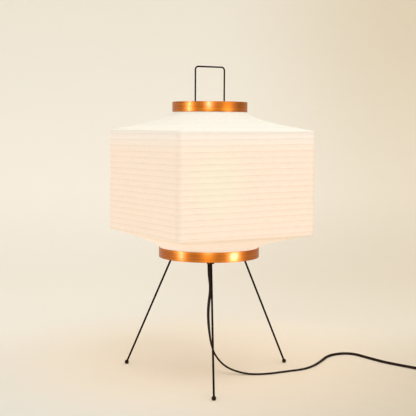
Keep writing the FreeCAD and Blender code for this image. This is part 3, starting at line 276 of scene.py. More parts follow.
def smooth_by_angle(mesh, degrees):
    """Smooth faces, with the sharp edges kept sharp."""
    limit = math.radians(degrees)
    with editing(mesh) as work:
        for face in work.faces:
            face.smooth = True
        for edge in work.edges:
            edge.smooth = len(edge.link_faces) == 2 and edge.calc_face_angle(0.0) < limit


def plain_mesh(made):
    """Bakes an object's modifiers into its mesh."""
    graph = bpy.context.evaluated_depsgraph_get()
    mesh = bpy.data.meshes.new_from_object(made.evaluated_get(graph))
    made.modifiers.clear()
    made.data = mesh
    return made


def dressed(made, slot, body, *parts):
    """Gives a new piece its finish and its body, and puts it in place of CAD nodes."""
    if len(made.data.polygons) == 0:
        raise RuntimeError(f"{made.name} came out without faces")
    made.data.materials.clear()
    made.data.materials.append(finish_of(slot))
    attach(made, body)
    if parts:
        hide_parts(*parts)
    return made


# Small helpers for nodes, in materials and in Geometry Nodes trees
COLOUR_A, COLOUR_B, COLOUR_OUT = 6, 7, 2


def fill(tree, made, inputs):
    """Sets a node's inputs to constants, or links them to sockets."""
    for key, value in inputs.items():
        if isinstance(value, bpy.types.NodeSocket):
            tree.links.new(value, made.inputs[key])
        else:
            made.inputs[key].default_value = value


def new_node(tree, kind, inputs=None, **settings):
    made = tree.nodes.new(kind)
    for key, value in settings.items():
        setattr(made, key, value)
    fill(tree, made, inputs or {})
    return made


def figure(tree, operation, first, second=None):
    """A number worked out from sockets or constants."""
    values = {0: first} if second is None else {0: first, 1: second}
    return new_node(tree, "ShaderNodeMath", values, operation=operation).outputs["Value"]


def times(tree, first, second):
    return figure(tree, "MULTIPLY", first, second)


def split(tree, vector):
    """The three parts of a vector."""
    return new_node(tree, "ShaderNodeSeparateXYZ", {"Vector": vector}).outputs


def vector_of(tree, x, y, z):
    return new_node(tree, "ShaderNodeCombineXYZ", {0: x, 1: y, 2: z}).outputs["Vector"]


def coordinates(tree, scale=(1, 1, 1), place=(0, 0, 0), source="Object"):
    start = new_node(tree, "ShaderNodeTexCoord").outputs[source]
    sockets = {"Vector": start, "Location": place, "Scale": scale}
    return new_node(tree, "ShaderNodeMapping", sockets).outputs["Vector"]


def noise(tree, vector, scale, detail=3.0, rough=0.5):
    sockets = {"Vector": vector, "Scale": scale, "Detail": detail, "Roughness": rough}
    return new_node(tree, "ShaderNodeTexNoise", sockets).outputs["Fac"]


def spread(tree, value, low, high, to_low=0.0, to_high=1.0, soft=False):
    """Maps a value from one range to another."""
    sockets = {"Value": value, "From Min": low, "From Max": high, "To Min": to_low, "To Max": to_high}
    kind = "SMOOTHSTEP" if soft else "LINEAR"
    return new_node(tree, "ShaderNodeMapRange", sockets, interpolation_type=kind).outputs["Result"]


def blend_colours(tree, factor, first, second):
    """A mix of two colours, each a constant or a socket."""
    ends = [c if isinstance(c, bpy.types.NodeSocket) else (*c[:3], 1) for c in (first, second)]
    sockets = {"Factor": factor, COLOUR_A: ends[0], COLOUR_B: ends[1]}
    return new_node(tree, "ShaderNodeMix", sockets, data_type="RGBA").outputs[COLOUR_OUT]


def relief(tree, height, distance, strength=1.0):
    sockets = {"Height": height, "Distance": distance, "Strength": strength}
    return new_node(tree, "ShaderNodeBump", sockets).outputs["Normal"]


def new_finish(name):
    """A new material and its tree."""
    made = bpy.data.materials.new(name)
    made.use_nodes = True
    return made, made.node_tree


def shaded(finish, **sockets):
    """Sets or links the sockets of a finish's shader."""
    tree = finish.node_tree
    named = {key.replace("_", " "): value for key, value in sockets.items()}
    fill(tree, tree.nodes["Principled BSDF"], named)
    return finish


# Ranges of a grain's values: all of them, nearly all, and the middle tones
WHOLE, GRAIN, MIDDLE = (0.0, 1.0), (0.3, 0.7), (0.35, 0.65)

# Stretched grains: across, across and up
FIBRES, BAMBOO_GRAIN = (90, 90, 260), (60, 60, 900)
COARSE_BRUSH, FINE_BRUSH = (5, 5, 620), (9, 9, 2400)

# Where the paper's marks begin and end: from the middle between two ribs, from a corner, from the painted
# bright spot
RIB_LINE, LAP_LINE, NEAR_BULB = (0.435, 0.48), (0.026, 0.004), (0.085, 0.032)

# The painted bright spot's place on the paper, its height from the top of the bulb
CROWN = (-0.009, -0.1255, 0.022)

# Heights between which the painted light of the slopes and the brow sets in, from a slope's edge or from its
# hoop
UNDER_EDGE, UNDER_HOOP = 0.004, 0.012
OVER_EDGE, OVER_HOOP = 0.012, 0.020
BROW_FROM, BROW_TO = 0.040, 0.006

# Strength of the paper's marks; the rib lines are partly the ribs' painted shadow, in colour and in glow, and
# fade on the upper slope
ROOF_FADE = 0.7
RIB_CLOUD = (0.5, 1.0)
RIB_SHARE, RIB_GLOW_SHARE, LAP_SHARE = 0.6, 0.5, 0.16
RIB_GLOW, LAP_GLOW = (0.35, 0.85, 0.75), 0.5
FIBRE_LINE, FIBRE_SHARE = (0.35, 0.7), 0.16
FIBRE_TINT = (1.0, 0.97, 0.92)
FIBRE_RELIEF, RIB_RELIEF = 0.5, 0.6


def off_middle(tree, value):
    """Distance of a value's fraction from one half."""
    return figure(tree, "ABSOLUTE", figure(tree, "SUBTRACT", figure(tree, "FRACT", value), 0.5))


def weighed(tree, first, first_share, second, second_share):
    return figure(tree, "ADD", times(tree, first, first_share), times(tree, second, second_share))


# Finishes
def paper_finish(settings):
    """Handmade paper with painted light: rib lines, partly the ribs' painted shadow, and corner laps from the
    UV map, and an emission glow painted by place for the bulb's light through the paper.
    """
    finish, tree = new_finish("lantern_paper")
    winding = split(tree, new_node(tree, "ShaderNodeUVMap", uv_map="winding").outputs["UV"])
    rib = spread(tree, off_middle(tree, winding["Y"]), *RIB_LINE, soft=True)
    lap = spread(tree, off_middle(tree, winding["X"]), *LAP_LINE, soft=True)
    level = split(tree, coordinates(tree))["Z"]
    low, high = hoop_levels()
    face_low, face_high = low + settings.lower_slope, high - settings.upper_slope
    under = spread(tree, level, face_low + UNDER_EDGE, low + UNDER_HOOP, soft=True)
    over = spread(tree, level, face_high - OVER_EDGE, high - OVER_HOOP, soft=True)
    brow = spread(tree, level, face_high - BROW_FROM, face_high - BROW_TO, soft=True)
    plain = figure(tree, "SUBTRACT", 1.0, times(tree, over, ROOF_FADE))
    fibres = noise(tree, coordinates(tree, FIBRES), 1.0, 6.0, 0.65)
    cloud = noise(tree, coordinates(tree), 14.0)
    # Rib lines, partly painted shadow of the ribs, uneven along their length and fainter on the upper slope
    rib_line_and_shadow = times(tree, times(tree, rib, spread(tree, cloud, *GRAIN, *RIB_CLOUD)), plain)
    lap = times(tree, lap, times(tree, plain, LAP_SHARE))
    tint = blend_colours(tree, times(tree, rib_line_and_shadow, RIB_SHARE), settings.tint, settings.rib_and_shadow_tint)
    tint = blend_colours(tree, lap, tint, settings.lap_tint)
    tint = blend_colours(tree, spread(tree, fibres, *FIBRE_LINE, 0.0, FIBRE_SHARE), tint, FIBRE_TINT)
    crown = Vector(CROWN) + Vector((0, 0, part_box("bulb_glass")[1][2]))
    reach = new_node(tree, "ShaderNodeVectorMath", {0: coordinates(tree), 1: crown}, operation="DISTANCE")
    near = spread(tree, reach.outputs["Value"], *NEAR_BULB, soft=True)
    glow = blend_colours(tree, near, settings.glow_face, settings.glow_near)
    rib_shadowed_glow = [c * k for c, k in zip(settings.glow_face, RIB_GLOW)]
    for factor, light in (
        (brow, settings.painted_brow_light),
        (under, settings.glow_low),
        (over, settings.glow_top),
        (times(tree, rib_line_and_shadow, RIB_GLOW_SHARE), rib_shadowed_glow),
        (lap, scaled(settings.glow_face, LAP_GLOW)),
    ):
        glow = blend_colours(tree, factor, glow, light)
    raised = relief(tree, weighed(tree, fibres, FIBRE_RELIEF, rib, RIB_RELIEF), 0.0004, 0.5)
    shaded(finish, Base_Color=tint, Emission_Color=glow, Emission_Strength=1.0, Normal=raised)
    return shaded(finish, Roughness=0.85, Specular_IOR_Level=0.2)


def copper_finish(settings):
    """Copper sheet brushed round the hoop under clear lacquer."""
    finish, tree = new_finish("brushed_copper")
    coarse = noise(tree, coordinates(tree, COARSE_BRUSH), 1.0, 3.0, 0.6)
    fine = noise(tree, coordinates(tree, FINE_BRUSH), 1.0, 2.0, 0.6)
    marks = weighed(tree, coarse, 0.6, fine, 0.4)
    tangent = new_node(tree, "ShaderNodeTangent", direction_type="RADIAL", axis="Z")
    shaded(finish, Metallic=1.0, Anisotropic=0.6, Anisotropic_Rotation=0.25)
    shaded(finish, Coat_Weight=0.7, Coat_Roughness=0.24, Specular_Tint=(0.7, 0.48, 0.24, 1.0))
    return shaded(
        finish,
        Base_Color=blend_colours(tree, spread(tree, marks, 0.38, 0.62), settings.streak, settings.tint),
        Roughness=spread(tree, marks, *GRAIN, 0.40, 0.50),
        Tangent=tangent.outputs["Tangent"],
        Normal=relief(tree, marks, 0.00006, 0.4),
    )


def weave_finish():
    """Black webbing with two sets of threads."""
    finish, tree = new_finish("woven_strap")
    across, along = (
        new_node(
            tree, "ShaderNodeTexWave", {"Vector": coordinates(tree), "Scale": 420.0}, bands_direction=axis
        ).outputs["Fac"]
        for axis in "XZ"
    )
    threads = times(tree, across, along)
    tint = blend_colours(tree, threads, srgb(28, 26, 24), srgb(66, 62, 58))
    shaded(finish, Roughness=0.8, Sheen_Weight=0.3)
    return shaded(finish, Base_Color=tint, Normal=relief(tree, threads, 0.0002))


def mottled(
    name, first, second, scale, rough, bump=0.0, detail=4.0, tones=MIDDLE, stretch=(1, 1, 1), **sockets
):
    """A finish whose colour follows one grain, as do its roughness, relief and light where they are given."""
    finish, tree = new_finish(name)
    grain = noise(tree, coordinates(tree, stretch), scale, detail)
    tint = blend_colours(tree, spread(tree, grain, *tones), first, second)
    sockets["Base_Color"] = tint
    sockets["Roughness"] = spread(tree, grain, *GRAIN, *rough) if isinstance(rough, tuple) else rough
    if bump:
        sockets["Normal"] = relief(tree, grain, bump)
    if "Emission_Strength" in sockets:
        sockets["Emission_Color"] = tint
    return shaded(finish, **sockets)


# Mottled finishes: name, two colours, scale of the grain, range of the roughness, relief, other sockets
METAL, DULL = {"Metallic": 1.0}, {"Specular_IOR_Level": 0.06}
MOTTLED = {
    "foot_rubber": ("black_rubber", (38, 19, 6), (48, 29, 14), 500, (0.6, 0.8), 6e-5, DULL),
    "zinc_steel": ("zinc_plate", (176, 176, 172), (208, 206, 198), 320, (0.26, 0.42), 4e-5, METAL),
    "black_plastic": ("black_moulding", (34, 32, 30), (46, 43, 40), 900, (0.45, 0.62), 6e-5, {}),
    "rocker_plastic": ("smooth_moulding", (40, 37, 34), (54, 50, 46), 400, (0.22, 0.32), 3e-5, {}),
    "white_ceramic": ("porcelain", (236, 233, 224), (246, 244, 238), 150, (0.25, 0.4), 4e-5, {}),
    "brass_strip": ("plain_brass", (196, 160, 92), (224, 190, 120), 260, (0.24, 0.4), 4e-5, METAL),
    "bulb_metal": ("bright_cap", (200, 200, 198), (226, 226, 222), 260, (0.2, 0.34), 4e-5, METAL),
    "black_glass": ("black_insulator", (22, 22, 22), (34, 34, 34), 200, (0.12, 0.2), 2e-5, {}),
}
GLASS_TINTS = (0.95, 0.97, 0.97), (1.0, 1.0, 1.0)
FILAMENT_TINTS = (1.0, 0.45, 0.12), (1.0, 0.72, 0.35)
FINISHES = {}


def make_finishes(scene):
    """All finishes, under the record's slot names."""
    paint, cord = scene.lantern_wire, scene.lantern_cord.tint
    bamboo, opal = scene.lantern_rib.tint, scene.lantern_bulb.tint
    strips = (scaled(bamboo, 0.6), bamboo)
    lit = {"Coat_Weight": 0.5, "Emission_Strength": scene.lantern_bulb.glow}
    hot = {"Metallic": 1.0, "Emission_Strength": 6.0}
    clear = {"Transmission_Weight": 1.0, "IOR": 1.5}
    pale = [min(1, c) for c in scaled(opal, 1.05)]
    FINISHES.update(
        paper=paper_finish(scene.lantern_paper),
        brushed_copper=copper_finish(scene.lantern_hoop),
        bamboo=mottled("split_bamboo", *strips, 1.0, 0.55, 1e-4, stretch=BAMBOO_GRAIN),
        black_metal=mottled(
            "painted_wire", paint.tint, paint.worn, 240, (0.6, 0.75), 5e-5, Specular_IOR_Level=0.03
        ),
        cord_sheath=mottled(
            "cord_sheath", cord, scaled(cord, 1.5), 420, (0.5, 0.65), 6e-5, Specular_IOR_Level=0.1
        ),
        bulb_glass=mottled("opal_glass", opal, pale, 60.0, 0.25, detail=2.0, tones=GRAIN, **lit),
        clear_glass=mottled("clear_glass", *GLASS_TINTS, 120.0, 0.03, detail=2.0, tones=WHOLE, **clear),
        filament=mottled("glowing_wire", *FILAMENT_TINTS, 300.0, 0.4, detail=2.0, tones=WHOLE, **hot),
        tie_web=weave_finish(),
    )
    for slot, (name, first, second, *grain, sockets) in MOTTLED.items():
        FINISHES[slot] = mottled(name, srgb(*first), srgb(*second), *grain, **sockets)


def finish_of(slot):
    """The finish under one of the record's slot names."""
    if not FINISHES:
        make_finishes(bpy.context.scene)
    return FINISHES[slot]


# The shade: how far out a slope's turns lie, and, in rib turns, where the tuck begins and the mesh's rows
SLOPE_STOPS = (0.12, 0.3, 0.6, 1.0)
TUCK_FROM = 0.6
TUCK_ROWS = (0.2, 0.4, 0.6, 0.8, 1.0)
ROWS_A_TURN = 7

# Columns of its mesh on half a side, in degrees, and parts of a turn in radians
SIDE_ANGLES = (0.0, 6, 12, 18, 24, 29, 34, 38, 40.5, 42.0, 43.0, 43.6, 44.1, 44.55)
EIGHTH, QUARTER, ROUND = math.pi / 4, math.pi / 2, 2 * math.pi

# How fast the strip goes from beside the paper to above or below it, and the points of a hoop and its edges
RIB_EASE = 3
HOOP_STEPS, LIP_STEPS = 192, 5


def hoop_levels():
    """Top of the bottom hoop and bottom of the top hoop."""
    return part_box("bottom_hoop")[1][2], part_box("top_hoop")[0][2]


def all_turns(settings):
    return settings.floor_turns + settings.face_turns + settings.roof_turns


def slope_row(settings, turn, turns, rise):
    """Share of the way out, and height from the hoop, of a row on a slope or in the tuck before it."""
    if turn < 0:
        out = SLOPE_STOPS[0] * max(0.0, (turn + TUCK_FROM) / TUCK_FROM)
    else:
        gaps = len(SLOPE_STOPS) - 1
        place = min(turn / turns, 1.0) * gaps
        n = min(int(place), gaps - 1)
        out = SLOPE_STOPS[n] + (SLOPE_STOPS[n + 1] - SLOPE_STOPS[n]) * (place - n)
    tucked = settings.tuck * max(0.0, (-TUCK_FROM - turn) / (1 - TUCK_FROM))
    return out, rise * out**settings.slope_exponent - tucked


def shade_row(settings, turn, low, high):
    """Half width, corner radius and height of the shade at a count of rib turns."""
    faces_from = settings.floor_turns
    faces_to = faces_from + settings.face_turns
    if turn <= faces_from:
        neck = settings.low_neck
        out, climb = slope_row(settings, turn, settings.floor_turns, settings.lower_slope)
        level = low + climb
    elif turn < faces_to:
        out, neck = 1.0, settings.low_neck
        bottom, top = low + settings.lower_slope, high - settings.upper_slope
        level = bottom + (top - bottom) * (turn - faces_from) / settings.face_turns
    else:
        neck = settings.high_neck
        left = all_turns(settings) - turn
        out, climb = slope_row(settings, left, settings.roof_turns, settings.upper_slope)
        level = high - climb
    half = neck + (settings.side / 2 - neck) * out
    corner = neck - settings.neck_flat
    return half, max(corner + (settings.corner - corner) * out, settings.corner), level


def square_reach(half, corner, angle):
    """Distance from the axis to a square with rounded corners, at an angle."""
    a = abs((angle + EIGHTH) % QUARTER - EIGHTH)
    flat = half - corner
    if half * math.tan(a) <= flat:
        return half / math.cos(a)
    along = flat * (math.cos(a) + math.sin(a))
    return along + math.sqrt(max(0.0, along**2 - 2 * flat**2 + corner**2))


def all_angles():
    """Angles round the square, closer together at the corners."""
    side = sorted({sign * a for a in SIDE_ANGLES for sign in (-1, 1)}) + [45]
    return [math.radians(a) + math.radians(90 * k) for k in range(4) for a in side]


def rib_phase(turn, angle):
    """Count of rib turns below a point of the paper, whole where a turn lies behind it."""
    return turn - (angle - EIGHTH) / ROUND


def fold_with_shade(made):
    """Gives a soft piece a mesh of its own."""
    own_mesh(made)


class LANTERN_OT_paper(bpy.types.Operator):
    """Paper stretched over the ribs, a little hollow between them"""

    bl_idname = "lantern.paper"
    bl_label = "Paper shade"

    def execute(self, context):
        settings = context.scene.lantern_paper
        low, high = hoop_levels()
        last = all_turns(settings)
        rows = [-x for x in reversed(TUCK_ROWS)]
        rows += [n / ROWS_A_TURN for n in range(last * ROWS_A_TURN + 1)]
        rows += [last + x for x in TUCK_ROWS]
        angles = all_angles()
        rings = []
        for turn in rows:
            half, corner, level = shade_row(settings, turn, low, high)
            rings.append([polar(square_reach(half, corner, a), a + settings.turn, level) for a in angles])
        mesh = lofted("paper_skin", rings)
        self.sink(mesh, settings.sag, last, rows, angles)
        self.map_winding(mesh, rows, angles)
        made = link("paper_skin", mesh)
        wall = made.modifiers.new("Thickness", "SOLIDIFY")
        wall.thickness = settings.wall
        wall.offset = -1
        plain_mesh(made)
        dressed(made, "paper", "stand", "paper_shade")
        fold_with_shade(made)
        return {"FINISHED"}

    def sink(self, mesh, sag, last, rows, angles):
        """Hollows the paper between the rib's turns, less and less towards the hoops."""
        normals = [vertex.normal.copy() for vertex in mesh.vertices]
        for vertex, normal, (turn, angle) in zip(mesh.vertices, normals, product(rows, angles)):
            fade = min(1.0, max(0.0, turn)) * min(1.0, max(0.0, last - turn))
            vertex.co -= normal * (sag * fade * math.sin(math.pi * rib_phase(turn, angle)) ** 2)

    def map_winding(self, mesh, rows, angles):
        """Maps the paper by its sides across and by the rib's turns upwards."""
        layer = mesh.uv_layers.new(name="winding")
        for face in mesh.polygons:
            for place, loop in enumerate(face.loop_indices):
                r, c = divmod(mesh.loops[loop].vertex_index, len(angles))
                angle = angles[c]
                if c == 0 and place in (1, 2):
                    angle += ROUND
                layer.data[loop].uv = ((angle + EIGHTH) / QUARTER + 0.5, rib_phase(rows[r], angle))


# Geometry Nodes trees
STRIP_SIDES, RIDGE_SIDES = 8, 40
DOME_SEGMENTS, DOME_RINGS, SHANK_SIDES = 24, 12, 16
SLOT_RUN, SLOT_LIFT = 1.2, 1.1


def new_tree(name, **inputs):
    """An empty tree with named inputs, and the sockets that hold them."""
    tree = bpy.data.node_groups.new(name, "GeometryNodeTree")
    for label, kind in {"Geometry": "Geometry", **inputs, "Finish": "Material"}.items():
        tree.interface.new_socket(label, in_out="INPUT", socket_type="NodeSocket" + kind)
    tree.interface.new_socket("Geometry", in_out="OUTPUT", socket_type="NodeSocketGeometry")
    return tree, new_node(tree, "NodeGroupInput").outputs


def finish_tree(tree, given, geometry):
    """Ends a tree in Realize Instances and Set Material."""
    real = new_node(tree, "GeometryNodeRealizeInstances", {"Geometry": geometry}).outputs["Geometry"]
    coat = new_node(tree, "GeometryNodeSetMaterial", {"Geometry": real, "Material": given["Finish"]})
    new_node(tree, "NodeGroupOutput", {"Geometry": coat.outputs["Geometry"]})
    return tree


def grown(made, tree, **inputs):
    """Runs a tree on an object with its named inputs, and keeps the mesh that comes out."""
    modifier = made.modifiers.new(tree.name, "NODES")
    modifier.node_group = tree
    for item in tree.interface.items_tree:
        if item.item_type == "SOCKET" and item.in_out == "INPUT" and item.name in inputs:
            modifier[item.identifier] = inputs[item.name]
    return plain_mesh(made)


def moved(tree, geometry, **change):
    return new_node(tree, "GeometryNodeTransform", {"Geometry": geometry, **change}).outputs["Geometry"]


def swept(tree, curve, thickness, caps):
    """A round section swept along a curve."""
    sockets = {"Resolution": STRIP_SIDES, "Radius": times(tree, thickness, 0.5)}
    section = new_node(tree, "GeometryNodeCurvePrimitiveCircle", sockets).outputs["Curve"]
    sockets = {"Curve": curve, "Profile Curve": section, "Fill Caps": caps}
    return new_node(tree, "GeometryNodeCurveToMesh", sockets).outputs["Mesh"]


def placed(tree, points, instance, way, **more):
    """Copies of a shape on points, turned along a way."""
    turn = new_node(tree, "FunctionNodeAlignRotationToVector", {"Vector": way}, axis="Z").outputs["Rotation"]
    sockets = {"Points": points, "Instance": instance, "Rotation": turn, **more}
    return new_node(tree, "GeometryNodeInstanceOnPoints", sockets).outputs["Instances"]


def strip_tree():
    """A strip with a round section along the edges of a mesh."""
    tree, given = new_tree("Bamboo strip", Thickness="Float")
    curve = new_node(tree, "GeometryNodeMeshToCurve", {"Mesh": given["Geometry"]}).outputs["Curve"]
    return finish_tree(tree, given, swept(tree, curve, given["Thickness"], True))


def head_tree():
    """Domed, slotted heads with shanks, one on each point, along the point's own way."""
    tree, given = new_tree(
        "Fastener heads", Head="Float", Rise="Float", Shank="Float", Reach="Float", Slot="Float"
    )
    head, rise, reach = given["Head"], given["Rise"], given["Reach"]
    sockets = {"Segments": DOME_SEGMENTS, "Rings": DOME_RINGS, "Radius": 0.5}
    dome = new_node(tree, "GeometryNodeMeshUVSphere", sockets).outputs["Mesh"]
    dome = moved(tree, dome, Scale=vector_of(tree, head, head, times(tree, rise, 2.0)))
    size = vector_of(tree, times(tree, head, SLOT_RUN), given["Slot"], rise)
    cutter = new_node(tree, "GeometryNodeMeshCube", {"Size": size}).outputs["Mesh"]
    cutter = moved(tree, cutter, Translation=vector_of(tree, 0.0, 0.0, times(tree, rise, SLOT_LIFT)))
    sockets = {"Mesh 1": dome, "Mesh 2": cutter}
    slotted = new_node(tree, "GeometryNodeMeshBoolean", sockets, operation="DIFFERENCE", solver="EXACT")
    sockets = {"Vertices": SHANK_SIDES, "Radius": times(tree, given["Shank"], 0.5), "Depth": reach}
    shank = new_node(tree, "GeometryNodeMeshCylinder", sockets).outputs["Mesh"]
    shank = moved(tree, shank, Translation=vector_of(tree, 0.0, 0.0, times(tree, reach, -0.5)))
    whole = new_node(tree, "GeometryNodeJoinGeometry", {"Geometry": shank})
    fill(tree, whole, {"Geometry": slotted.outputs["Mesh"]})
    way = new_node(tree, "GeometryNodeInputNamedAttribute", {"Name": "way"}, data_type="FLOAT_VECTOR")
    heads = placed(tree, given["Geometry"], whole.outputs["Geometry"], way.outputs["Attribute"])
    return finish_tree(tree, given, heads)


def ridge_tree():
    """Round ridges along a line, from one radius to another."""
    tree, given = new_tree(
        "Moulded ridges", Count="Int", From="Vector", To="Vector", First="Float", Last="Float", Wire="Float"
    )
    sockets = {"Count": given["Count"], "Start Location": given["From"], "Offset": given["To"]}
    line = new_node(tree, "GeometryNodeMeshLine", sockets, mode="END_POINTS").outputs["Mesh"]
    sockets = {"Resolution": RIDGE_SIDES, "Radius": given["First"]}
    ring = new_node(tree, "GeometryNodeCurvePrimitiveCircle", sockets).outputs["Curve"]
    ridge = swept(tree, ring, given["Wire"], False)
    index = new_node(tree, "GeometryNodeInputIndex").outputs["Index"]
    along = figure(tree, "DIVIDE", index, figure(tree, "SUBTRACT", given["Count"], 1.0))
    ratio = figure(tree, "DIVIDE", given["Last"], given["First"])
    scale = figure(tree, "ADD", times(tree, along, figure(tree, "SUBTRACT", ratio, 1.0)), 1.0)
    way = new_node(tree, "ShaderNodeVectorMath", {0: given["To"], 1: given["From"]}, operation="SUBTRACT")
    return finish_tree(tree, given, placed(tree, line, ridge, way.outputs["Vector"], Scale=scale))


class LANTERN_OT_rib(bpy.types.Operator):
    """One bamboo strip wound round inside the paper"""

    bl_idname = "lantern.rib"
    bl_label = "Bamboo rib"

    def execute(self, context):
        settings, shade = context.scene.lantern_rib, context.scene.lantern_paper
        low, high = hoop_levels()
        faces_from, faces_to = shade.floor_turns, shade.floor_turns + shade.face_turns
        inset = settings.inset
        points = []
        for n, angle in product(range(all_turns(shade)), all_angles()):
            turn = n + (angle + EIGHTH) / ROUND
            half, corner, level = shade_row(shade, turn, low, high)
            reach = square_reach(half - inset, max(corner - inset, settings.bend), angle + QUARTER)
            if turn < faces_from:
                level += inset * min(1.0, (faces_from - turn) * RIB_EASE)
            elif turn > faces_to:
                level -= inset * min(1.0, (turn - faces_to) * RIB_EASE)
            points.append(polar(reach, angle + QUARTER + shade.turn, level))
        edges = [(i, i + 1) for i in range(len(points) - 1)]
        made = link("bamboo_winding", mesh_of("bamboo_winding", points, edges=edges))
        grown(made, strip_tree(), Thickness=settings.thickness, Finish=finish_of("bamboo"))
        smoothed(outward(made.data))
        dressed(made, "bamboo", "stand", "bamboo_rib")
        fold_with_shade(made)
        return {"FINISHED"}


class LANTERN_OT_hoops(bpy.types.Operator):
    """Brushed copper hoops above and below the paper"""

    bl_idname = "lantern.hoops"
    bl_label = "Copper hoops"

    def execute(self, context):
        settings = context.scene.lantern_hoop
        angles = [ROUND * k / HOOP_STEPS for k in range(HOOP_STEPS)]
        for part, name, body in (
            ("top_hoop", "copper_top", "shade_top"),
            ("bottom_hoop", "copper_bottom", "stand"),
        ):
            (left, _, low), (right, _, high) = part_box(part)
            outer = (right - left) / 2
            profile = rounded_outline((outer - settings.wall, low), (outer, high), settings.lip, LIP_STEPS)
            rings = [[polar(r, angle, z) for r, z in profile] for angle in angles]
            dressed(link(name, lofted(name, rings, closed=True)), "brushed_copper", body, part)
        return {"FINISHED"}


# Heads, ridges and moulded cases
SAME_POINT = 1e-6
BEVEL_STEPS, BEVEL_ANGLE = 3, 40


def pieces_of(part):
    """The separate solids in a CAD node, each as a list of its points."""
    work = bmesh.new()
    work.from_mesh(frame["nodes"][part].data)
    bmesh.ops.remove_doubles(work, verts=work.verts, dist=SAME_POINT)
    seen, solids = set(), []
    for vertex in work.verts:
        if vertex in seen:
            continue
        seen.add(vertex)
        queue, points = [vertex], []
        while queue:
            here = queue.pop()
            points.append(here.co.copy())
            for edge in here.link_edges:
                other = edge.other_vert(here)
                if other not in seen:
                    seen.add(other)
                    queue.append(other)
        solids.append(points)
    work.free()
    return solids


class LANTERN_OT_fasteners(bpy.types.Operator):
    """Rivets with domed heads, and slotted screws"""

    bl_idname = "lantern.fasteners"
    bl_label = "Rivets and screws"

    def execute(self, context):
        settings = context.scene.lantern_fastener
        rivet = (settings.rivet_head, settings.rivet_rise, settings.rivet_shank, 0.0)
        grub = (settings.grub_head, settings.grub_rise, settings.grub_shank, settings.grub_slot)
        screw = (settings.screw_head, settings.screw_rise, settings.screw_shank, settings.slot)
        tree = head_tree()
        for part, name, body, towards, (head, rise, shank, slot) in (
            ("hoop_rivets", "hoop_rivet_heads", "stand", "axis", rivet),
            ("bar_rivets", "bar_rivet_heads", "shade_top", "axis", rivet),
            ("upright_screws", "upright_screw_heads", "stand", "out", grub),
            ("switch_screws", "switch_screw_heads", "stand", "down", screw),
        ):
            places, ways, reach = [], [], 0.0
            for points in pieces_of(part):
                low = Vector(min(p[i] for p in points) for i in range(3))
                high = Vector(max(p[i] for p in points) for i in range(3))
                middle = (low + high) / 2
                flat = Vector((middle.x, middle.y, 0)).normalized()
                way = {"axis": -flat, "out": flat, "down": Vector((0, 0, -1))}[towards]
                along = [(p - middle).dot(way) for p in points]
                places.append(middle + way * (max(along) - rise))
                ways.append(way)
                reach = max(along) - min(along) - rise
            mesh = mesh_of(name, places)
            attribute = mesh.attributes.new("way", "FLOAT_VECTOR", "POINT")
            for item, way in zip(attribute.data, ways):
                item.vector = way
            sizes = {"Head": head, "Rise": rise, "Shank": shank, "Reach": reach, "Slot": slot}
            made = grown(link(name, mesh), tree, **sizes, Finish=finish_of("zinc_steel"))
            smooth_by_angle(made.data, 40)
            dressed(made, "zinc_steel", body, part)
        return {"FINISHED"}


class LANTERN_OT_mouldings(bpy.types.Operator):
    """Switch, plug and lampholder with rounded edges and moulded ridges"""

    bl_idname = "lantern.mouldings"
    bl_label = "Switch, plug and lampholder"

    def execute(self, context):
        edge = context.scene.lantern_fastener.case_edge
        for part, name, width, slot, body in (
            ("switch_upper_shell", "switch_top_case", edge, "black_plastic", "stand"),
            ("switch_lower_shell", "switch_base_case", edge * 0.5, "black_plastic", "stand"),
            ("switch_rocker", "rocker_key", edge * 0.5, "rocker_plastic", "rocker"),
            ("plug_body", "plug_case", edge, "black_plastic", "stand"),
            ("plug_blades", "plug_pins", edge * 0.3, "brass_strip", "stand"),
            ("hub_nut", "hub_nut_chamfered", edge * 0.4, "zinc_steel", "stand"),
            ("holder_cap", "holder_cap_moulded", edge * 0.5, "black_plastic", "stand"),
        ):
            self.soften(part, name, width, slot, body)
        self.ridges()
        return {"FINISHED"}

    def soften(self, part, name, width, slot, body):
        """A moulded copy of a CAD node with its sharp edges rounded."""
        mesh = frame["nodes"][part].data.copy()
        mesh.name = name
        with editing(mesh) as work:
            bmesh.ops.remove_doubles(work, verts=work.verts, dist=SAME_POINT)
            bmesh.ops.dissolve_limit(work, angle_limit=math.radians(1), verts=work.verts, edges=work.edges)
        made = link(name, mesh)
        bevel = made.modifiers.new("Rounded edges", "BEVEL")
        bevel.width = width
        bevel.segments = BEVEL_STEPS
        bevel.limit_method = "ANGLE"
        bevel.angle_limit = math.radians(BEVEL_ANGLE)
        bevel.use_clamp_overlap = True
        plain_mesh(made)
        smooth_by_angle(made.data, 50)
        dressed(made, slot, body, part)

    def ridges(self):
        """Grip ridges on the lampholder's sleeve, the cord's gland and the plug."""
        tree = ridge_tree()
        low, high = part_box("holder_sleeve")
        sleeve = (high[0] - low[0]) / 2
        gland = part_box("cord_gland")[0][2]
        plug_low, plug_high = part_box("plug_body")
        x, y, z = (plug_low[0] + plug_high[0]) / 2, plug_low[1], (plug_low[2] + plug_high[2]) / 2
        for name, count, start, end, first, last, thick in (
            ("holder_ridges", 9, (0, 0, low[2] + 0.005), (0, 0, high[2] - 0.005), sleeve, sleeve, 0.0010),
            ("gland_ridges", 4, (0, 0, gland + 0.001), (0, 0, gland + 0.006), 0.00345, 0.0042, 0.0007),
            ("plug_ridges", 7, (x, y + 0.002, z), (x, y + 0.018, z), 0.0031, 0.0044, 0.0009),
        ):
            sizes = {"Count": count, "From": start, "To": end, "First": first, "Last": last, "Wire": thick}
            made = link(name, bpy.data.meshes.new(name))
            grown(made, tree, **sizes, Finish=finish_of("black_plastic"))
            smooth_by_angle(outward(made.data), 60)
            dressed(made, "black_plastic", "stand")


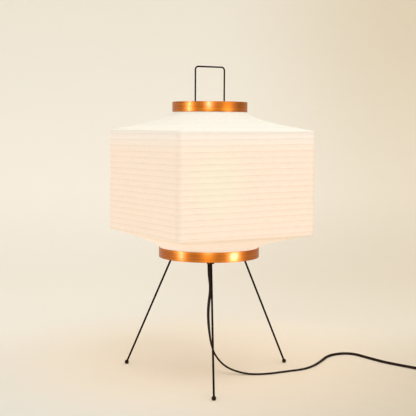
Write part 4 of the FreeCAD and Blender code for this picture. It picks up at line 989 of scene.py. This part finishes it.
class LANTERN_OT_frame(bpy.types.Operator):
    """Finishes for the wire stand, the lampholder, the bulb and the small metal pieces"""

    bl_idname = "lantern.frame"
    bl_label = "Stand and lampholder"

    def execute(self, context):
        for row in frame["record"]["subparts"]:
            for place in frame["nodes"][row["node"]].material_slots:
                place.material = finish_of(row["material_slot"])
        return {"FINISHED"}


# Cord: the heights of its middle on the floor and in the switch, and its way from the hub to the coil
SWITCH_LEVEL = 0.00795
FLOOR_LEVEL = 0.00165
CORD_LEAD = (
    (0, 0, 0.205),
    (0, 0, 0.187),
    (0.004, 0, 0.161),
    (-0.0012, 0, 0.123),
    (0.0006, 0, 0.084),
    (0.0075, -0.001, 0.042),
    (0.031, 0.003, 0.012),
    (0.068, -0.007, FLOOR_LEVEL),
    (0.104, -0.009, FLOOR_LEVEL),
    (0.148, 0.012, FLOOR_LEVEL),
    (0.190, 0.031, FLOOR_LEVEL),
    (0.222, 0.082, FLOOR_LEVEL),
    (0.249, 0.140, FLOOR_LEVEL),
    (0.296, 0.158, FLOOR_LEVEL),
    (0.326, 0.107, FLOOR_LEVEL),
    (0.350, 0.071, FLOOR_LEVEL),
    (0.384, 0.037, FLOOR_LEVEL),
    (0.412, 0.005, FLOOR_LEVEL + 0.001),
    (0.428, -0.026, SWITCH_LEVEL),
    (0.428, -0.054, SWITCH_LEVEL),
)
SWITCH_MIDDLE = (0.428, -0.084, SWITCH_LEVEL)
SWITCH_END = (0.428, -0.114, SWITCH_LEVEL)
COIL_START_Y = -0.128
TAIL_STEPS = (0.0193, 0.0353, 0.0503)
COIL_POINTS, LAYER_GAP, CLIMB_TURN = 16, 0.0001, 0.25
ON_CORD = (
    "switch_lower_shell",
    "switch_upper_shell",
    "switch_rocker",
    "switch_contact",
    "switch_screws",
    "plug_body",
    "plug_blades",
)

# Where the cord turns on its edge: hanging from the hub, at the switch, in the coil, and partly past the hump
HANG_X, HANG_Z, HANG_RUN = 0.05, 0.045, 0.085
SWITCH_X, EDGE_Y, EDGE_RUN = 0.4, -0.06, 0.048
COIL_X = 0.44
HUMP_X, HUMP_RUN, LEAN = 0.212, 0.046, 0.7

# Slope and height below which the cord lies level
LEVEL_SLOPE, LEVEL_HEIGHT = 0.3, 0.03

# The tie's room inside, outside and above the coil, its thinner edges, and the points of a corner
TIE_INSIDE, TIE_OUTSIDE, TIE_ABOVE = 0.0012, 0.0004, 0.0006
TIE_ACROSS, TIE_EDGE, TIE_STEPS = (-1, -0.92, 0.92, 1), 0.25, 6


def coil_route(settings):
    """The coil's middle and turns, wound inwards above and outwards below, and the tail to the plug."""
    half = settings.turns / 2
    reach = settings.mid + settings.step * half
    centre = Vector((SWITCH_END[0] + reach, SWITCH_END[1] - settings.lead_in, 0))
    low = settings.lift + settings.width / 2
    rise = settings.width + LAYER_GAP
    points = []
    for k in range(int(COIL_POINTS * settings.turns) + 1):
        turn = k / COIL_POINTS - half
        climb = 0.5 - 0.5 * math.sin(QUARTER * min(max(turn / CLIMB_TURN, -1), 1))
        radius = settings.mid + settings.step * abs(turn)
        points.append(centre + polar(radius, math.radians(270 + 360 * turn), low + rise * climb))
    x, y, _ = points[-1]
    levels = (low, SWITCH_LEVEL, SWITCH_LEVEL)
    return centre, points, [Vector((x, y + step, level)) for step, level in zip(TAIL_STEPS, levels)]


def smooth_line(points):
    """Points along the smooth line that a route's points steer."""
    curve = bpy.data.curves.new("route", "CURVE")
    curve.dimensions = "3D"
    curve.resolution_u = 6
    spline = curve.splines.new("NURBS")
    spline.points.add(len(points) - 1)
    for target, p in zip(spline.points, points):
        target.co = (*p, 1)
    spline.order_u = 3
    spline.use_endpoint_u = True
    made = link("route", curve)
    graph = bpy.context.evaluated_depsgraph_get()
    mesh = bpy.data.meshes.new_from_object(made.evaluated_get(graph))
    line = [v.co.copy() for v in mesh.vertices]
    bpy.data.objects.remove(made)
    bpy.data.meshes.remove(mesh)
    return line


def twin_section(settings):
    """Outline of the flat twin cord: two round cores with a groove between them."""
    radius = settings.thickness / 2
    offset = settings.width / 2 - radius
    outline = []
    for side in (1, -1):
        for a in (60, 30, 0, -30, -60):
            a = math.radians(a if side > 0 else 180 + a)
            outline.append((side * offset + radius * math.cos(a), radius * math.sin(a)))
        outline.append((0, -side * (radius - settings.groove)))
    return outline


def eased(way):
    """A share from 0 to 1 that starts and ends gently."""
    way = min(max(way, 0.0), 1.0)
    return way * way * (3 - 2 * way)


def on_edge_share(place):
    """How far the cord is turned on its edge: as it hangs from the hub, at the switch and in the coil."""
    if place.x < HANG_X:
        return eased((place.z - HANG_Z) / HANG_RUN)
    if place.x > COIL_X:
        return 1.0
    return eased((EDGE_Y - place.y) / EDGE_RUN) if place.x > SWITCH_X else 0.0


class LANTERN_OT_cord(bpy.types.Operator):
    """Flat twin cord from the hub over the floor to its switch, coil and plug"""

    bl_idname = "lantern.cord"
    bl_label = "Cord"

    def execute(self, context):
        settings = context.scene.lantern_cord
        centre, coil, tail = coil_route(settings)
        dip = Vector((SWITCH_END[0], COIL_START_Y, (SWITCH_LEVEL + coil[0].z) / 2))
        line = smooth_line([*map(Vector, (*CORD_LEAD, SWITCH_MIDDLE, SWITCH_END)), dip, *coil, *tail])
        outline = twin_section(settings)
        rings = []
        for place, (way, side) in zip(line, self.directions(line)):
            on_edge = on_edge_share(place)
            leaning = max(on_edge, LEAN * eased((place.x - HUMP_X) / HUMP_RUN))
            stand_up = math.sin(leaning * QUARTER) - math.sin(on_edge * QUARTER)
            place.z += (settings.width - settings.thickness) / 2 * stand_up
            width = Matrix.Rotation(leaning * QUARTER, 3, way) @ side
            up = way.cross(width)
            rings.append([place + width * x + up * y for x, y in outline])
        made = link("twin_cord", lofted("twin_cord", rings, capped=True))
        dressed(made, "cord_sheath", "stand", "cord_lead", "cord_coil", "cord_tail")
        on_cord = [self.strap(settings, centre)] + [frame["nodes"][part] for part in ON_CORD]
        return {"FINISHED"}

    def directions(self, line):
        """The cord's way at each point, and the side that its flat faces, level where the cord lies."""
        last = len(line) - 1
        ways = [(line[min(i + 1, last)] - line[max(i - 1, 0)]).normalized() for i in range(last + 1)]
        level_from = next(
            i for i, way in enumerate(ways) if abs(way.z) < LEVEL_SLOPE and line[i].z < LEVEL_HEIGHT
        )
        sides = [way.cross(Vector((0, 0, 1))).normalized() for way in ways]
        for i in reversed(range(level_from)):
            sides[i] = (ways[i + 1].rotation_difference(ways[i]) @ sides[i + 1]).normalized()
        return zip(ways, sides)

    def strap(self, settings, centre):
        """A woven tie round the coil's turns."""
        wall, bend, half = settings.strap_wall, settings.strap_bend, settings.thickness / 2
        near = settings.mid - half - TIE_INSIDE
        far = settings.mid + settings.step * settings.turns / 2 + half + TIE_OUTSIDE
        top = settings.lift + 2 * settings.width + TIE_ABOVE
        inner = rounded_outline((near, wall), (far, top), bend, TIE_STEPS)
        outer = rounded_outline((near - wall, 0.0), (far + wall, top + wall), bend + wall, TIE_STEPS)
        rings = []
        for (y0, z0), (y1, z1) in zip(inner, outer):
            inside, outside = Vector((0, -y0, z0)), Vector((0, -y1, z1))
            way = (outside - inside).normalized()
            pairs = []
            for x in TIE_ACROSS:
                thin = way * (TIE_EDGE * wall if abs(x) == 1 else 0.0)
                shift = Vector((centre.x + x * settings.strap_width / 2, centre.y, 0))
                pairs.append((inside + thin + shift, outside - thin + shift))
            rings.append([a for a, _ in pairs] + [b for _, b in reversed(pairs)])
        mesh = lofted("coil_strap", rings, closed=True)
        return dressed(link("coil_strap", mesh), "tie_web", "stand", "coil_tie")


# Stage: half its width, where the floor bends, the bend's radius and steps, and the wall's top
STAGE_HALF, BEND_FROM, BEND, BEND_STEPS, WALL_TOP = 6.0, 1.2, 0.9, 12, 5.0

# Where the backdrop's tones change: across, with painted light from the left; up, from floor to wall; back,
# with painted light on the bend behind the lamp; and round the lamp's painted pool of light
WALL_DIM, FLOOR_DIM = (0.05, 0.95), (-0.35, 0.40)
WALL_RISE = (0.0, 0.25)
SWEEP_BACK, SWEEP_UP = (-0.08, 0.45), (0.8, 0.2, 0.0, 0.66)
POOL_PLACE, POOL = (0, -0.12, 0), (0.58, 0.12, 0.0, 0.70)
SPECKLE, SPECKLE_SHARE = (1.0, 0.97, 0.9), 0.05

# Lights: name, azimuth, height, distance, the box's width and height, power, and if only reflections show it
LIGHTS = (
    ("left_strip", -66, 0.45, 1.0, 0.12, 0.9, 6.5, True),
    ("right_strip", 53, 0.10, 1.0, 0.32, 0.28, 8.0, True),
    ("front_strip", -6, 0.87, 2.4, 0.34, 0.8, 27.0, True),
    ("top_box", 20, 2.5, 1.5, 1.8, 1.8, 14, False),
)
LAMP_MIDDLE = 0.35

# The studio's brightness by bearing, and overhead
STUDIO = (
    (-180, 0.84), (-105, 0.26), (-84, 0.92), (-58, 0.92), (-42, 0.28), (-28, 0.28), (-14, 0.92),
    (8, 0.95), (18, 0.45), (30, 0.45), (40, 0.98), (76, 0.98), (92, 0.28), (110, 0.26), (180, 0.84),
)
OVERHEAD_FROM, OVERHEAD = (0.3, 0.75), (1.03, 1.03, 1.03)

# Camera: sensor in millimetres, picture, horizon and axis in pixels, and roll in radians
SENSOR, PICTURE, HORIZON, AXIS, ROLL = 36.0, 416, 125.9, 209.2, 0.00606


class LANTERN_OT_stage(bpy.types.Operator):
    """Pale floor and backdrop, soft boxes and the camera"""

    bl_idname = "lantern.stage"
    bl_label = "Stage"

    def execute(self, context):
        settings = context.scene.lantern_stage
        self.backdrop(settings)
        self.surroundings(context.scene)
        self.lights()
        self.camera(context.scene, settings)
        context.scene.view_settings.view_transform = "Standard"
        return {"FINISHED"}

    def backdrop(self, settings):
        """A floor that bends up into a wall."""
        profile = [(-STAGE_HALF, 0.0), (BEND_FROM, 0.0)]
        for k in range(1, BEND_STEPS + 1):
            a = math.radians(90 * k / BEND_STEPS)
            profile.append((BEND_FROM + BEND * math.sin(a), BEND - BEND * math.cos(a)))
        profile.append((BEND_FROM + BEND, WALL_TOP))
        points = [(x, y, z) for y, z in profile for x in (-STAGE_HALF, STAGE_HALF)]
        faces = [(2 * i, 2 * i + 1, 2 * i + 3, 2 * i + 2) for i in range(len(profile) - 1)]
        made = link("backdrop", mesh_of("backdrop", points, faces))
        made.data.materials.append(self.backdrop_finish(settings))

    def backdrop_finish(self, settings):
        """Pale paint with painted light: lighter on the left, brighter on the bend behind the lamp, and a
        painted pool of the lamp's own light.
        """
        finish, tree = new_finish("pale_backdrop")
        place = coordinates(tree)
        x, y, z = split(tree, place)
        dim = spread(tree, x, *WALL_DIM, soft=True)
        aside = spread(tree, x, *FLOOR_DIM, soft=True)
        wall = blend_colours(tree, dim, settings.wall_left, settings.wall_right)
        ground = blend_colours(tree, aside, settings.floor_left, settings.floor_right)
        tint = blend_colours(tree, spread(tree, z, *WALL_RISE, soft=True), ground, wall)
        sweep = times(tree, spread(tree, y, *SWEEP_BACK, soft=True), spread(tree, z, *SWEEP_UP, soft=True))
        bright = blend_colours(tree, dim, settings.sweep_left, settings.sweep_right)
        tint = blend_colours(tree, sweep, tint, bright)
        off_pool = {0: coordinates(tree, place=POOL_PLACE)}
        around = new_node(tree, "ShaderNodeVectorMath", off_pool, operation="LENGTH")
        pool = spread(tree, around.outputs["Value"], *POOL, soft=True)
        tint = blend_colours(tree, pool, tint, settings.pool)
        grain = spread(tree, noise(tree, place, 30.0, 5.0, 0.6), *GRAIN, 0.0, SPECKLE_SHARE)
        tint = blend_colours(tree, grain, tint, SPECKLE)
        return shaded(finish, Base_Color=tint, Roughness=0.95, Specular_IOR_Level=0.0)

    def surroundings(self, scene):
        """A bright studio with darker gaps between its soft boxes."""
        scene.world = bpy.data.worlds.new("Studio")
        scene.world.use_nodes = True
        tree = scene.world.node_tree
        x, y, z = split(tree, coordinates(tree, source="Generated"))
        bearing = figure(tree, "ARCTAN2", x, times(tree, y, -1.0))
        ramp = new_node(tree, "ShaderNodeValToRGB", {"Fac": spread(tree, bearing, -math.pi, math.pi)})
        for k, (degrees, level) in enumerate(STUDIO):
            place = (degrees + 180) / 360
            if k < 2:
                stop = ramp.color_ramp.elements[k]
                stop.position = place
            else:
                stop = ramp.color_ramp.elements.new(place)
            stop.color = (level, level, level, 1)
        overhead = spread(tree, z, *OVERHEAD_FROM, soft=True)
        tint = blend_colours(tree, overhead, ramp.outputs["Color"], OVERHEAD)
        fill(tree, tree.nodes["Background"], {"Color": tint, "Strength": 1.0})

    def lights(self):
        """Soft boxes round the lamp and above it."""
        for name, azimuth, height, distance, wide, tall, power, mirrored in LIGHTS:
            lamp = bpy.data.lights.new(name, "AREA")
            lamp.shape = "RECTANGLE"
            lamp.size, lamp.size_y = wide, tall
            lamp.energy = power
            made = link(name, lamp)
            made.visible_diffuse = not mirrored
            made.visible_camera = False
            a = math.radians(azimuth)
            made.location = (math.sin(a) * distance, -math.cos(a) * distance, height)
            aim = Vector((0, 0, height if mirrored else LAMP_MIDDLE)) - made.location
            made.rotation_euler = aim.to_track_quat("-Z", "Y").to_euler()

    def camera(self, scene, settings):
        """The photo's view, aimed by the places of the horizon and the lamp's axis in the picture."""
        data = bpy.data.cameras.new("Photo camera")
        data.lens = settings.lens
        data.sensor_width = SENSOR
        made = link("Photo camera", data)
        focal = settings.lens / SENSOR * PICTURE
        heading, distance = settings.azimuth, settings.distance
        eye = Vector((math.sin(heading) * distance, -math.cos(heading) * distance, settings.height))
        pitch = math.atan((PICTURE / 2 - HORIZON) / focal)
        aim = heading + (AXIS - PICTURE / 2) / focal
        level = math.cos(pitch)
        ahead = Vector((-math.sin(aim) * level, math.cos(aim) * level, -math.sin(pitch)))
        right = Vector((math.cos(aim), math.sin(aim), 0))
        up = right.cross(ahead)
        tilt, lean = math.cos(ROLL), math.sin(ROLL)
        right, up = right * tilt + up * lean, up * tilt - right * lean
        made.matrix_world = Matrix.Translation(eye) @ Matrix((right, up, -ahead)).transposed().to_4x4()
        scene.camera = made


class LANTERN_PT_panel(bpy.types.Panel):
    """Lists the lantern's pieces"""

    bl_idname = "LANTERN_PT_panel"
    bl_label = "Paper Lantern Lamp"
    bl_space_type = "VIEW_3D"
    bl_region_type = "UI"
    bl_category = "Lantern"

    def draw(self, context):
        for operator in OPERATORS:
            self.layout.operator(operator.bl_idname)
        for name in SETTINGS:
            group = getattr(context.scene, name)
            box = self.layout.box()
            for key in group.bl_rna.properties.keys():
                if key not in {"rna_type", "name"}:
                    box.prop(group, key)


OPERATORS = (
    LANTERN_OT_stage,
    LANTERN_OT_cord,
    LANTERN_OT_paper,
    LANTERN_OT_rib,
    LANTERN_OT_hoops,
    LANTERN_OT_fasteners,
    LANTERN_OT_mouldings,
    LANTERN_OT_frame,
)
SETTINGS = {
    "lantern_paper": PaperSettings,
    "lantern_rib": RibSettings,
    "lantern_hoop": HoopSettings,
    "lantern_wire": WireSettings,
    "lantern_bulb": BulbSettings,
    "lantern_cord": CordSettings,
    "lantern_fastener": FastenerSettings,
    "lantern_stage": StageSettings,
}


def register():
    for name, group in SETTINGS.items():
        bpy.utils.register_class(group)
        setattr(bpy.types.Scene, name, PointerProperty(type=group))
    for kind in (*OPERATORS, LANTERN_PT_panel):
        bpy.utils.register_class(kind)


def unregister():
    for kind in reversed((*OPERATORS, LANTERN_PT_panel)):
        bpy.utils.unregister_class(kind)
    for name, group in reversed(SETTINGS.items()):
        delattr(bpy.types.Scene, name)
        bpy.utils.unregister_class(group)


def main():
    register()
    bpy.ops.lantern.stage()
    bpy.ops.lantern.cord()
    bpy.ops.lantern.paper()
    bpy.ops.lantern.rib()
    bpy.ops.lantern.hoops()
    bpy.ops.lantern.fasteners()
    bpy.ops.lantern.mouldings()
    bpy.ops.lantern.frame()


if __name__ == "__main__":
    main()
